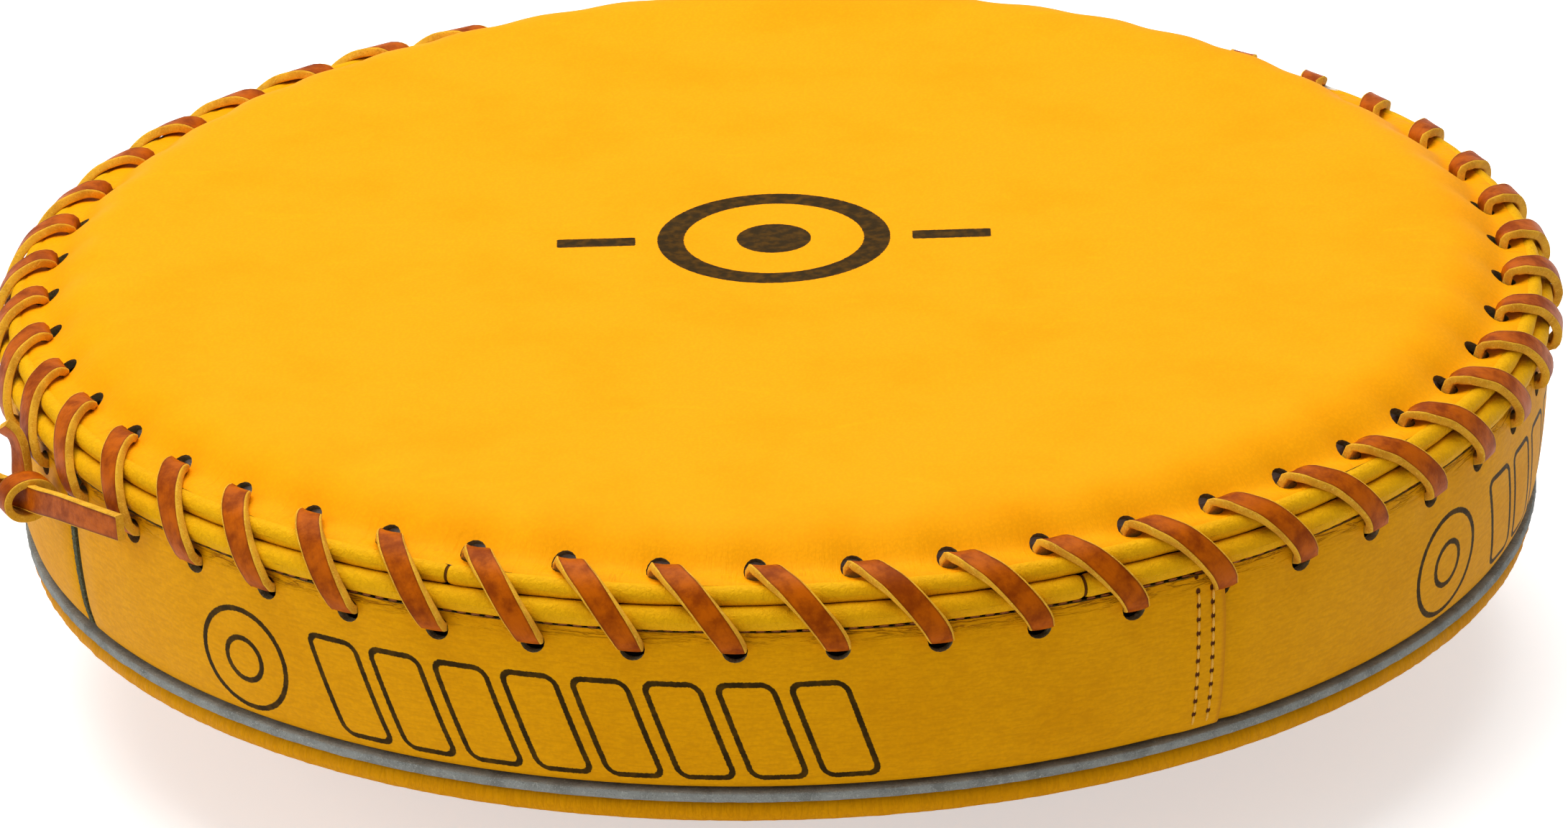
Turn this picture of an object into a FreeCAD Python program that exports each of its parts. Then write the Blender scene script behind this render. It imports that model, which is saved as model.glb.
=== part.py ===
"""Round kick shield, also called a drum mitt, made the way a baseball glove is made.

A crowned leather face is laced with a flat rawhide lace to a leather side band. Both edges carry
a rolled leather binding with a cord in it, and the lace whips over the two rolls. The band and the
back panel are sewn inside out with a leather welt between them, whose grey cut edge stays visible.
Inside lie felt, firm foam, soft foam and a stiff board. Two lined leather straps, sewn and riveted
through the board, take the forearm and the hand.

Frame: millimetres, +Z up out of the strike face, origin at the centre of the back panel's outer
face. -Y is the front, where the lap seam is. Angles run anticlockwise from +X, seen from above.
"""

import FreeCAD
import Part

import math
import os

V = FreeCAD.Vector
Z_AXIS = V(0, 0, 1)
ORIGIN = V(0, 0, 0)

# ---------------------------------------------------------------- driving dimensions
leather_t = 2.8            # face, band and back leather
skived_t = 1.3             # leather pared thin where it meets a roll
hole_circle_r = 176.0      # circle of the lace holes in the face
hole_circle_z = 61.7       # height of the face's outer surface at that circle
crown_z = 70.8             # height of the face at its centre
lace_count = 49            # turns of the lace
lace_hole_d = 6.0
lace_w = 6.4
lace_t = 2.2
lace_squeeze = 0.78        # share of its width that the lace keeps inside a hole
first_lace_angle = 99.04   # angle of face hole 0, degrees
side_hole_shift = 0.79     # side hole's lead on its face hole, as a share of the lace pitch
side_hole_z = 46.1
knot_hole = 14             # face hole at which the lace starts and ends
knot_centre = (195.0, 203.2, 42.6)   # radius, angle, height
knot_loop_r = 6.8
face_roll_d = 4.8
band_roll_d = 5.8
roll_wall = 1.1
roll_cord_gap = 0.1
face_roll_centre = (183.0, 58.6)   # radius, height
band_roll_centre = (185.1, 53.7)
welt_t = 3.05              # leather strip sewn into the base seam
welt_z = 6.1               # underside of that strip
seam_allowance_r = 174.0   # inner edge of the turned-in leathers at the base
back_fold_r = 179.4        # centre of the back panel's folded edge
closing_seam_angle = 205.5 # welted seam that closes the band
lap_edge_angles = (303.4, 29.0, 117.0)
lap_width = 10.0
stitch_pitch = 3.6
stitch_len = 2.6
stitch_w = 0.7
stitch_h = 0.5
board_t = 3.1
board_r = 170.0
felt_t = 5.0
felt_gap = 0.4             # room between the face leather and the felt
strap_w = 44.0
strap_t = 3.2
lining_t = 2.4
strap_x = 68.0             # distance of each strap's middle from the centre
strap_gap = 33.0           # depth between the back panel and the strap's leather
strap_flat = 28.0          # half length of the strap's flat crest
strap_foot = 62.0          # where the strap reaches the back panel
strap_end = 90.0           # end of its sewn tab
rivet_d = 4.0
rivet_head_d = 9.0
rivet_inset_y = 76.0
rivet_spread_x = 11.0

lace_step = 360.0 / lace_count


# ---------------------------------------------------------------- small helpers
def rz(r, z):
    """A point of the turned profile, in the XZ plane."""
    return V(r, 0, z)


def polar(r, angle, z):
    """A point at that radius, angle in degrees and height."""
    a = math.radians(angle)
    return V(r * math.cos(a), r * math.sin(a), z)


def spline_edge(points, start=None, end=None):
    """A smooth curve through the points, with its end directions where they are given."""
    curve = Part.BSplineCurve()
    if start is not None:
        curve.interpolate(Points=points, InitialTangent=start, FinalTangent=end)
    else:
        curve.interpolate(points)
    return curve.toShape()


def line(a, b):
    return Part.LineSegment(a, b).toShape()


def turned(edges, sweep=360.0, start=0.0):
    """The solid that a closed profile in the XZ plane makes when it is turned about Z."""
    face = Part.Face(Part.Wire(edges))
    solid = face.revolve(ORIGIN, Z_AXIS, sweep)
    if start:
        solid.rotate(ORIGIN, Z_AXIS, start)
    return solid


def turned_polygon(points, sweep=360.0, start=0.0):
    """The same for a profile of straight lines through (radius, height) pairs."""
    corners = [rz(*p) for p in points]
    edges = [line(a, b) for a, b in zip(corners, corners[1:] + corners[:1])]
    return turned(edges, sweep, start)


def torus(centre, minor_r):
    """A ring of round section, its section centred on that (radius, height)."""
    return Part.makeTorus(centre[0], minor_r, V(0, 0, centre[1]), Z_AXIS)


def disc(r, z0, z1):
    return Part.makeCylinder(r, z1 - z0, V(0, 0, z0), Z_AXIS)


def box_at(centre, size, angle=0.0):
    """A box turned by an angle about Z and then centred on a point."""
    box = Part.makeBox(size[0], size[1], size[2], V(-size[0] / 2, -size[1] / 2, -size[2] / 2))
    box.rotate(ORIGIN, Z_AXIS, angle)
    box.translate(centre)
    return box


# ---------------------------------------------------------------- profiles
def face_outer():
    """Outer surface of the face, from the centre over its shoulder to its sewn edge."""
    return [(0, crown_z), (80, crown_z + 0.1), (130, crown_z + 0.1), (152, crown_z), (163, crown_z - 0.8),
            (169.5, crown_z - 3.6), (hole_circle_r, hole_circle_z), (179.0, 61.5), (181.6, 61.4)]


def face_inner(drop=0.0):
    """Inner surface of the face as far as the lace holes, one leather down and lowered by a drop."""
    top = crown_z - leather_t - drop
    return [(0, top), (80, top + 0.1), (130, top + 0.1), (152, top), (161.8, top - 0.75),
            (168.0, top - 3.1), (172.6, top - 6.8)]


def band_outer():
    """Outer surface of the band, from its top edge down to the base seam."""
    return [(186.1, 50.7), (186.9, 46.0), (186.7, 38.0), (185.9, 27.0), (184.4, 16.5), (182.6, 9.6)]


def band_radius(z):
    """Outer radius of the band at a height, by straight lines between the profile's points."""
    points = band_outer()
    for (r0, z0), (r1, z1) in zip(points, points[1:]):
        if z1 <= z <= z0:
            return r0 + (r1 - r0) * (z - z0) / (z1 - z0)
    return points[0][0]


def turned_sheet(outer, inner, sweep=360.0, start=0.0):
    """A turned sheet between two smooth curves of (radius, height) pairs."""
    top = spline_edge([rz(*p) for p in outer])
    bottom = spline_edge([rz(*p) for p in inner])
    edges = [top, line(rz(*outer[-1]), rz(*inner[-1])), bottom, line(rz(*inner[0]), rz(*outer[0]))]
    return turned(edges, sweep, start)


# ---------------------------------------------------------------- leather shell
def lace_holes(centre_r, centre_z, shift, along_z):
    """The cutters of one ring of lace holes, upright or radial."""
    cutters = []
    for i in range(lace_count):
        angle = first_lace_angle + (i + shift) * lace_step
        if along_z:
            start, way, depth = polar(centre_r, angle, centre_z - 8), Z_AXIS, 16
        else:
            start, way, depth = polar(centre_r - 8, angle, centre_z), polar(1, angle, 0), 14
        cutters.append(Part.makeCylinder(lace_hole_d / 2, depth, start, way))
    return Part.makeCompound(cutters)


def face_panel():
    inner = face_inner() + [(176.5, 59.3), (179.4, 59.6), (180.6, 60.1), (181.6, 60.7)]
    sheet = turned_sheet(face_outer(), inner)
    return sheet.cut(lace_holes(hole_circle_r, hole_circle_z, 0, True))


def band_sheet(share_out, share_in, start, sweep):
    """Part of the band between two shares of its thickness, 0 outside and 1 inside."""
    def depth(share, z):
        full = skived_t + 0.4 if z > 50 else leather_t
        return share * full
    outer = [(r - depth(share_out, z), z) for r, z in band_outer()]
    inner = [(r - depth(share_in, z), z) for r, z in band_outer()[:-1]]
    foot_out = 9.25 + share_out * 2.75
    foot_in = 9.25 + share_in * 2.75
    outer[-1] = (outer[-1][0], foot_out + 0.35)
    inner.append((inner[-1][0] - 1.3, foot_in + 0.35))
    curve_out = spline_edge([rz(*p) for p in outer])
    curve_in = spline_edge([rz(*p) for p in inner])
    foot = [(outer[-1][0] - 0.9, foot_out), (seam_allowance_r, foot_out),
            (seam_allowance_r, foot_in), (inner[-1][0] - 0.6, foot_in)]
    chain = [rz(*outer[-1])] + [rz(*p) for p in foot] + [rz(*inner[-1])]
    edges = [curve_out] + [line(a, b) for a, b in zip(chain, chain[1:])]
    edges += [curve_in, line(rz(*inner[0]), rz(*outer[0]))]
    return turned(edges, sweep, start)


def arc_degrees(length, r=186.5):
    return math.degrees(length / r)


def seam_flange(angle, side):
    """The turned-in end of a band panel at the closing seam, on one side of its welt."""
    offset = side * (1.15 + 1.1)
    flange = Part.makeBox(8.5, 2.0, 29.0, V(175.3, -1.0 + offset, 14.5))
    flange.rotate(ORIGIN, Z_AXIS, angle)
    return flange


def band_panels():
    """The four lengths of the band. Each laps over the next, and a welted seam closes the ring."""
    starts = [closing_seam_angle] + list(lap_edge_angles)
    ends = list(lap_edge_angles) + [closing_seam_angle]
    lap = arc_degrees(lap_width)
    half_gap = arc_degrees(1.25)
    holes = lace_holes(186.5, side_hole_z, side_hole_shift, False)
    panels = []
    for k, (start, end) in enumerate(zip(starts, ends)):
        while end < start:
            end += 360
        first, last = k == 0, k == len(starts) - 1
        a0 = start + (half_gap if first else 0)
        a1 = end - (half_gap if last else lap)
        panel = band_sheet(0, 1, a0, a1 - a0)
        if first:
            panel = panel.fuse(seam_flange(closing_seam_angle, 1))
        else:
            panel = panel.fuse(band_sheet(0.52, 1, start - lap + 0.03, lap - 0.03))
        if last:
            panel = panel.fuse(seam_flange(closing_seam_angle, -1))
        else:
            panel = panel.fuse(band_sheet(0, 0.48, a1, lap))
        panels.append(panel.removeSplitter().cut(holes))
    return panels


def closing_welt():
    """Upright strip in the closing seam. Its cut edge stands a little proud of the band."""
    outer = [(r + 0.9, z) for r, z in band_outer()[1:-1]]
    profile = outer + [(176.0, 16.5), (176.0, 43.0), (183.0, 43.0), (183.0, 46.0)]
    corners = [rz(*p) for p in profile]
    edges = [spline_edge(corners[:4])]
    edges += [line(a, b) for a, b in zip(corners[3:], corners[4:] + corners[:1])]
    welt = Part.Face(Part.Wire(edges)).extrude(V(0, 2.1, 0))
    welt.translate(V(0, -1.05, 0))
    welt.rotate(ORIGIN, Z_AXIS, closing_seam_angle)
    return welt


def tube_body(centre, minor_r, seam_angle):
    """A ring of round section whose surface's seam lies at that angle of the section."""
    circle = Part.makeCircle(minor_r, rz(*centre), V(0, -1, 0), seam_angle, seam_angle + 360)
    return turned([circle])


def roll(centre, diameter, tail, tail_angle):
    """A rolled binding: a leather tube with a flat tail that is sewn to the panel's edge."""
    hollow = tube_body(centre, diameter / 2 - roll_wall, tail_angle)
    tube = tube_body(centre, diameter / 2, tail_angle).cut(hollow)
    return tube.fuse(turned_polygon(tail).cut(hollow)).removeSplitter()


def face_roll():
    tail = [(179.3, 58.4), (181.2, 58.4), (181.6, 59.3), (179.3, 59.3)]
    return roll(face_roll_centre, face_roll_d, tail, 174)


def band_roll():
    tail = [(183.0, 48.9), (184.0, 48.9), (184.0, 51.4), (182.9, 52.2)]
    return roll(band_roll_centre, band_roll_d, tail, 234)


def roll_cord(centre, diameter):
    return torus(centre, diameter / 2 - roll_wall - roll_cord_gap)


def base_welt():
    return turned_polygon([(seam_allowance_r, welt_z), (183.5, welt_z),
                           (183.5, welt_z + welt_t), (seam_allowance_r, welt_z + welt_t)])


def back_panel():
    """Flat back with a folded edge whose allowance lies under the base welt."""
    half = welt_z / 2 - 0.02
    panel = disc(back_fold_r, 0, leather_t)
    allowance = disc(back_fold_r, 2 * half - leather_t + 0.05, 2 * half)
    allowance = allowance.cut(disc(seam_allowance_r, 0, welt_z))
    fold = torus((back_fold_r, half), half).cut(disc(back_fold_r, -1, welt_z + 1))
    fold = fold.cut(torus((back_fold_r, half), half - leather_t + 0.02))
    panel = panel.fuse([allowance, fold]).removeSplitter()
    return panel.cut(rivet_shanks(0.05))


# ---------------------------------------------------------------- threads
def seam_thread(centre):
    """A lockstitched seam's thread, as one thin ring."""
    return torus(centre, 0.35)


def lap_seam_thread():
    """Two upright rows of stitches beside each lap edge of the band."""
    stitches = []
    for edge in lap_edge_angles:
        for inset in (3.2, 6.8):
            angle = edge - arc_degrees(inset)
            z = 43.4
            while z > 13:
                lean = math.degrees(math.atan((band_radius(z + 1.5) - band_radius(z - 1.5)) / 3))
                stitch = Part.makeBox(stitch_h, stitch_w, stitch_len,
                                      V(-stitch_h / 2, -stitch_w / 2, -stitch_len / 2))
                stitch.rotate(ORIGIN, V(0, 1, 0), lean)
                stitch.translate(V(band_radius(z) + stitch_h / 2 + 0.25, 0, z))
                stitch.rotate(ORIGIN, Z_AXIS, angle)
                stitches.append(stitch)
                z -= stitch_pitch
    return Part.makeCompound(stitches)


# ---------------------------------------------------------------- lace
def ribbon(points, normals, widths, thickness):
    """A flat ribbon along points. Normals give its outer side; ends are closed by flat caps."""
    count = len(points)
    corners = [[], [], [], []]
    for k in range(count):
        ahead = points[min(k + 1, count - 1)].sub(points[max(k - 1, 0)])
        ahead.normalize()
        side = ahead.cross(normals[k])
        side.normalize()
        out = side.cross(ahead)
        out.normalize()
        for c, (s, o) in enumerate(((1, 1), (-1, 1), (-1, -1), (1, -1))):
            corners[c].append(points[k] + side * (s * widths[k] / 2) + out * (o * thickness / 2))
    return corners


def ribbon_solid(runs):
    """A solid ribbon from one or more runs of four corner lines that follow each other."""
    faces = []
    for corners in runs:
        edges = [spline_edge(c) for c in corners]
        for a, b in zip(edges, edges[1:] + edges[:1]):
            faces.append(Part.makeRuledSurface(a, b))
    for corners, k in ((runs[0], 0), (runs[-1], -1)):
        cap = [c[k] for c in corners]
        faces.append(Part.Face(Part.makePolygon(cap + cap[:1])))
    shell = Part.makeShell(faces)
    shell.sewShape()
    solid = Part.Solid(Part.makeShell(shell.Faces))
    if solid.Volume < 0:
        solid.reverse()
    return solid


def smooth_loop(points, share):
    """A point of the closed smooth loop through the points, at a share of its count."""
    count = len(points)
    k = int(math.floor(share * count))
    t = share * count - k
    p0, p1, p2, p3 = (points[(k + j) % count] for j in (-1, 0, 1, 2))
    return tuple(
        0.5 * (2 * b + (c - a) * t + (2 * a - 5 * b + 4 * c - d) * t ** 2
               + (3 * b - a - 3 * c + d) * t ** 3)
        for a, b, c, d in zip(p0, p1, p2, p3))


def lace_loop():
    """One turn's centreline as (radius, height), up through the face, over the rolls and back."""
    return [(176.4, 56.8), (176.1, 60.3), (176.9, 63.0), (180.0, 63.8), (183.2, 62.9),
            (186.0, 61.1), (187.9, 58.2), (189.0, 54.9), (189.4, 51.2), (188.3, 47.6),
            (184.9, 46.3), (181.6, 46.6), (178.4, 48.2), (176.9, 52.6)]


def lace_advance(share):
    """How far round the pad a turn has moved, 0 to 1, at a share of the turn."""
    across = min(max((share - 0.10) / 0.54, 0), 1)
    back = min(max((share - 0.80) / 0.18, 0), 1)
    ease = across * across * (3 - 2 * across)
    return side_hole_shift * (0.35 * ease + 0.65 * across) + (1 - side_hole_shift) * back


def lace_width(share):
    """The lace's width, squeezed where it passes through the two holes."""
    face_hole = math.exp(-((share - 0.085) / 0.06) ** 2) + math.exp(-((share - 1.085) / 0.06) ** 2)
    side_hole = math.exp(-((share - 0.715) / 0.06) ** 2)
    return lace_w * (1 - (1 - lace_squeeze) * min(face_hole + side_hole, 1))


def lace_turn(samples=28):
    """Corner lines of one turn of the lace, for the turn whose face hole is at angle 0."""
    loop = lace_loop()

    def place(share):
        whole = math.floor(share)
        r, z = smooth_loop(loop, (share - whole) % 1.0)
        return polar(r, (lace_advance(share - whole) + whole) * lace_step, z)

    def outward(share):
        (r0, z0), (r1, z1) = (smooth_loop(loop, (share + d) % 1.0) for d in (-0.008, 0.008))
        angle = lace_advance(share % 1.0) * lace_step + math.floor(share) * lace_step
        normal = polar(z0 - z1, angle, 0) + V(0, 0, r1 - r0)
        normal.normalize()
        return normal

    shares = [k / samples for k in range(-1, samples + 2)]
    corners = ribbon([place(s) for s in shares], [outward(s) for s in shares],
                     [lace_width(s % 1.0) for s in shares], lace_t)
    return [c[1:-1] for c in corners]


def turned_corners(corners, angle):
    """The same corner lines, turned about Z."""
    spin = FreeCAD.Rotation(Z_AXIS, angle)
    return [[spin.multVec(p) for p in c] for c in corners]


def edge_lace():
    """The whole lace as one solid. Its two ends stop just short of each other, inside the pad."""
    turn = lace_turn()
    runs = [turned_corners(turn, first_lace_angle + i * lace_step)
            for i in range(knot_hole - lace_count, knot_hole)]
    runs[0] = [corner_line[2:] for corner_line in runs[0]]
    return ribbon_solid(runs)


def lace_tail(route, width=lace_w, thickness=lace_t):
    """A free end of the lace along (radius, angle, height) points, its flat side outward."""
    points = [polar(*p) for p in route]
    normals = [polar(1, p[1], 0) for p in route]
    return ribbon_solid([ribbon(points, normals, [width] * len(points), thickness)])


def lace_knot():
    """The knot by the closing seam: a loop of lace, and the two cut ends that it holds."""
    loop_outer = Part.makeCylinder(knot_loop_r, lace_w, V(0, 0, -lace_w / 2), Z_AXIS)
    loop_inner = Part.makeCylinder(knot_loop_r - lace_t, lace_w + 2, V(0, 0, -lace_w / 2 - 1), Z_AXIS)
    loop = loop_outer.cut(loop_inner)
    loop.rotate(ORIGIN, V(1, 0, 0), 90)
    loop.translate(V(knot_centre[0], 0, knot_centre[2]))
    loop.rotate(ORIGIN, Z_AXIS, knot_centre[1])
    long_end = lace_tail([(194.6, 202.3, 41.8), (194.6, 204.6, 43.8), (194.6, 208.4, 47.3),
                          (194.4, 212.5, 49.7), (194.2, 216.1, 51.4)])
    short_end = lace_tail([(193.4, 199.9, 43.5), (192.9, 199.8, 47.2), (192.8, 199.7, 51.0),
                           (193.6, 199.6, 54.4), (195.4, 199.3, 56.8)], 5.6)
    return Part.makeCompound([loop, long_end, short_end])


# ---------------------------------------------------------------- filling
def face_felt():
    top = face_inner(felt_gap)
    bottom = face_inner(felt_gap + felt_t)
    return turned_sheet(top, bottom)


def firm_foam():
    """Closed-cell foam that takes the strike. Its rim leaves room for the lace's inner legs."""
    top = [(r, z - 0.15) for r, z in face_inner(felt_gap + felt_t)]
    curve = spline_edge([rz(*p) for p in top])
    chain = [rz(*p) for p in (top[-1], (174.4, top[-1][1] - 1.8), (174.4, 43.6), (182.9, 41.6),
                              (182.9, 34.2), (0, 34.2), top[0])]
    foam = turned([curve] + [line(a, b) for a, b in zip(chain, chain[1:])])
    return foam.cut(seam_pocket())


def soft_foam():
    """Open-cell foam against the board, notched for the base seam's allowances."""
    foam = turned_polygon([(0, 6.3), (173.4, 6.3), (173.4, 13.4), (179.2, 13.4), (180.8, 17.5),
                           (182.2, 27.0), (182.9, 34.0), (0, 34.0)])
    pockets = [Part.makeCylinder(7, 2.6, V(x, y, 6), Z_AXIS) for x, y in rivet_places()]
    return foam.cut(Part.makeCompound(pockets)).cut(seam_pocket())


def seam_pocket():
    """Room in the foam for the turned-in ends of the closing seam."""
    pocket = Part.makeBox(20, 8, 31, V(174.6, -4, 13.5))
    pocket.rotate(ORIGIN, Z_AXIS, closing_seam_angle)
    return pocket


def back_board():
    return disc(board_r, leather_t + 0.1, leather_t + 0.1 + board_t).cut(rivet_shanks(0.05))


# ---------------------------------------------------------------- straps
def strap_side(depth):
    """A side of the strap in the YZ plane, that far outside the strap's inner face."""
    points = []
    count = 14
    for k in range(count + 1):
        y = strap_flat + (strap_foot - strap_flat) * k / count
        t = math.pi * (y - strap_flat) / (strap_foot - strap_flat)
        z = -strap_gap * (1 + math.cos(t)) / 2
        slope = strap_gap * math.pi / (strap_foot - strap_flat) * math.sin(t) / 2
        length = math.hypot(1, slope)
        points.append((y + depth * slope / length, z - depth / length))
    return points


def strap_profile(depth, end):
    """One side of the whole strap as edges from -Y to +Y, ending in flat tabs."""
    ramp = strap_side(depth)
    right = [V(0, y, z) for y, z in ramp]
    left = [V(0, -y, z) for y, z in reversed(ramp)]
    flat = V(0, 1, 0)
    edges = [spline_edge(left, flat, flat), line(left[-1], right[0]), spline_edge(right, flat, flat)]
    if end > right[-1].y:
        edges = [line(V(0, -end, left[0].z), left[0])] + edges + [line(right[-1], V(0, end, right[-1].z))]
    return edges


def strap_layer(inner_depth, outer_depth, end, width, middle):
    """A strap layer between two depths, extruded to its width."""
    near, far = strap_profile(inner_depth, end), strap_profile(outer_depth, end)
    a0, a1 = near[0].Vertexes[0].Point, near[-1].Vertexes[-1].Point
    b0, b1 = far[0].Vertexes[0].Point, far[-1].Vertexes[-1].Point
    face = Part.Face(Part.Wire(near + [line(a1, b1)] + far[::-1] + [line(b0, a0)]))
    layer = face.extrude(V(width, 0, 0))
    layer.translate(V(middle - width / 2, 0, 0))
    return layer


def strap(middle):
    """The outer leather of a strap, with its two tabs against the back panel."""
    return strap_layer(0.0, strap_t, strap_end, strap_w, middle).cut(rivet_shanks(0.05))


def strap_lining(middle):
    """Soft leather on the hand's side of the strap, between its feet."""
    return strap_layer(-lining_t, -0.4, 0, strap_w - 3, middle).cut(
        box_at(V(middle, 0, 10), (2 * strap_w, 2 * strap_end, 20.6)))


def rivet_places():
    """Each rivet's place, two to a tab."""
    return [(side * strap_x + off, y)
            for side in (-1, 1) for off in (-rivet_spread_x, rivet_spread_x)
            for y in (-rivet_inset_y, rivet_inset_y)]


def rivet_shanks(clearance):
    """The holes that the rivets pass through."""
    shanks = [Part.makeCylinder(rivet_d / 2 + clearance, 16, V(x, y, -6), Z_AXIS)
              for x, y in rivet_places()]
    return Part.makeCompound(shanks)


def strap_rivets():
    """Domed rivets: head under the strap, shank through strap, back panel and board."""
    rivets = []
    sphere_r = 7.0
    head_h = sphere_r - math.sqrt(sphere_r ** 2 - (rivet_head_d / 2) ** 2)
    for x, y in rivet_places():
        head = Part.makeSphere(sphere_r, V(x, y, -strap_t - head_h + sphere_r))
        head = head.common(Part.makeCylinder(rivet_head_d / 2, head_h, V(x, y, -strap_t - head_h)))
        shank = Part.makeCylinder(rivet_d / 2, strap_t + leather_t + board_t + 1.0, V(x, y, -strap_t))
        rivets.append(head.fuse(shank).removeSplitter())
    return Part.makeCompound(rivets)


def rivet_burrs():
    """The washers that the shanks are set over, on the inside of the board."""
    z = leather_t + 0.1 + board_t
    burrs = [Part.makeCylinder(5.5, 0.9, V(x, y, z)).cut(
        Part.makeCylinder(rivet_d / 2 + 0.04, 2, V(x, y, z - 0.5))) for x, y in rivet_places()]
    return Part.makeCompound(burrs)


def strap_thread():
    """A rectangle of stitches on each tab."""
    stitches = []
    z = -strap_t - stitch_h / 2 - 0.02
    half_x = strap_w / 2 - 3.5
    y0, y1 = strap_foot + 3.0, strap_end - 3.0
    for middle in (-strap_x, strap_x):
        for side in (-1, 1):
            x_count = int(2 * half_x / stitch_pitch)
            for k in range(x_count):
                x = middle - half_x + (k + 0.5) * 2 * half_x / x_count
                stitches += [box_at(V(x, side * y, z), (stitch_len, stitch_w, stitch_h))
                             for y in (y0, y1)]
            y_count = int((y1 - y0) / stitch_pitch)
            for k in range(y_count):
                y = y0 + (k + 0.5) * (y1 - y0) / y_count
                stitches += [box_at(V(middle + s * half_x, side * y, z),
                                    (stitch_w, stitch_len * 0.9, stitch_h)) for s in (-1, 1)]
    return Part.makeCompound(stitches)


# ---------------------------------------------------------------- build
def save(name, shape):
    """Writes one node and prints its size, so that a bad solid is seen at once."""
    box = shape.BoundBox
    good = shape.isValid() and all(s.isClosed() for s in shape.Shells)
    print(f"{name:20s} solids {len(shape.Solids):3d} volume {shape.Volume / 1000:9.2f} cm3 "
          f"z {box.ZMin:7.2f}..{box.ZMax:6.2f} valid {good}")
    shape.exportStep(f"parts/{name}.step")


def main():
    os.makedirs("parts", exist_ok=True)
    save("face_panel", face_panel())
    save("face_roll", face_roll())
    save("face_roll_cord", roll_cord(face_roll_centre, face_roll_d))
    save("band_roll", band_roll())
    save("band_roll_cord", roll_cord(band_roll_centre, band_roll_d))
    for name, panel in zip(("front", "right", "rear", "left"), band_panels()):
        save(f"band_{name}", panel)
    save("closing_welt", closing_welt())
    save("base_welt", base_welt())
    save("back_panel", back_panel())
    save("face_roll_thread", seam_thread((182.08, 61.22)))
    save("band_roll_thread", seam_thread((186.7, 50.0)))
    save("base_seam_thread", seam_thread((177.0, 12.5)))
    save("lap_seam_thread", lap_seam_thread())
    save("edge_lace", edge_lace())
    save("lace_knot", lace_knot())
    save("face_felt", face_felt())
    save("firm_foam", firm_foam())
    save("soft_foam", soft_foam())
    save("back_board", back_board())
    for name, middle in (("forearm_strap", -strap_x), ("hand_strap", strap_x)):
        save(name, strap(middle))
        save(f"{name}_lining", strap_lining(middle))
    save("strap_rivets", strap_rivets())
    save("rivet_burrs", rivet_burrs())
    save("strap_thread", strap_thread())


main()
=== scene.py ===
"""Visual model of a round kick shield that is laced like a baseball glove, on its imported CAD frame.

The pad lies face up. A crowned leather face and a leather side band both end in a rolled binding,
and a flat lace whips over the two rolls. Grey leather welts show their cut edges in the base seam
and in the seam that closes the band. Two lined straps cross the back.

Shapes are worked out in millimetres and radians, and each finished mesh is scaled to metres.
"""

import logging
import math
from dataclasses import dataclass
from enum import Enum
from typing import Callable, Sequence

import bmesh
import bpy
from mathutils import Matrix, Vector, noise


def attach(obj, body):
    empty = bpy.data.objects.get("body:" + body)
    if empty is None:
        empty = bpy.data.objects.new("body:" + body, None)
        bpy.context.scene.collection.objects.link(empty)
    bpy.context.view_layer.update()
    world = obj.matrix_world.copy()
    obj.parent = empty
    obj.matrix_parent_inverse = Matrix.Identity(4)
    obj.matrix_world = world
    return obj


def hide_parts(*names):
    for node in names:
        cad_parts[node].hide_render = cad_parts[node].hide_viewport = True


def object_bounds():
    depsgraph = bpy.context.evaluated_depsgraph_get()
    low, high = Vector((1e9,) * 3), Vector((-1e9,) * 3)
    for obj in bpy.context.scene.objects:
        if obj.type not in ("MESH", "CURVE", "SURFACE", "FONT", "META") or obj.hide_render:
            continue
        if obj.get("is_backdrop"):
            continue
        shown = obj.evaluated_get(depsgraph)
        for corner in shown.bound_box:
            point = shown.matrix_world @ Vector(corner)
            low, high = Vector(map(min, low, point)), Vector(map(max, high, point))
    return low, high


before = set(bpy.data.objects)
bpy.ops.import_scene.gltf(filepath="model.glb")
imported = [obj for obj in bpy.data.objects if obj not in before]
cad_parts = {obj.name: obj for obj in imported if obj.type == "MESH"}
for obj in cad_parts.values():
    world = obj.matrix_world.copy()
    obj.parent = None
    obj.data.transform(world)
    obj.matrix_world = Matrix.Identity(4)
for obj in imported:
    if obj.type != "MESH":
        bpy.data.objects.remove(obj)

log = logging.getLogger("kick_shield")

MM = 0.001
TURN = 2.0 * math.pi
Z_AXIS = Vector((0.0, 0.0, 1.0))
RGB = tuple[float, float, float]
Place = Callable[[float, float], Vector]


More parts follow.
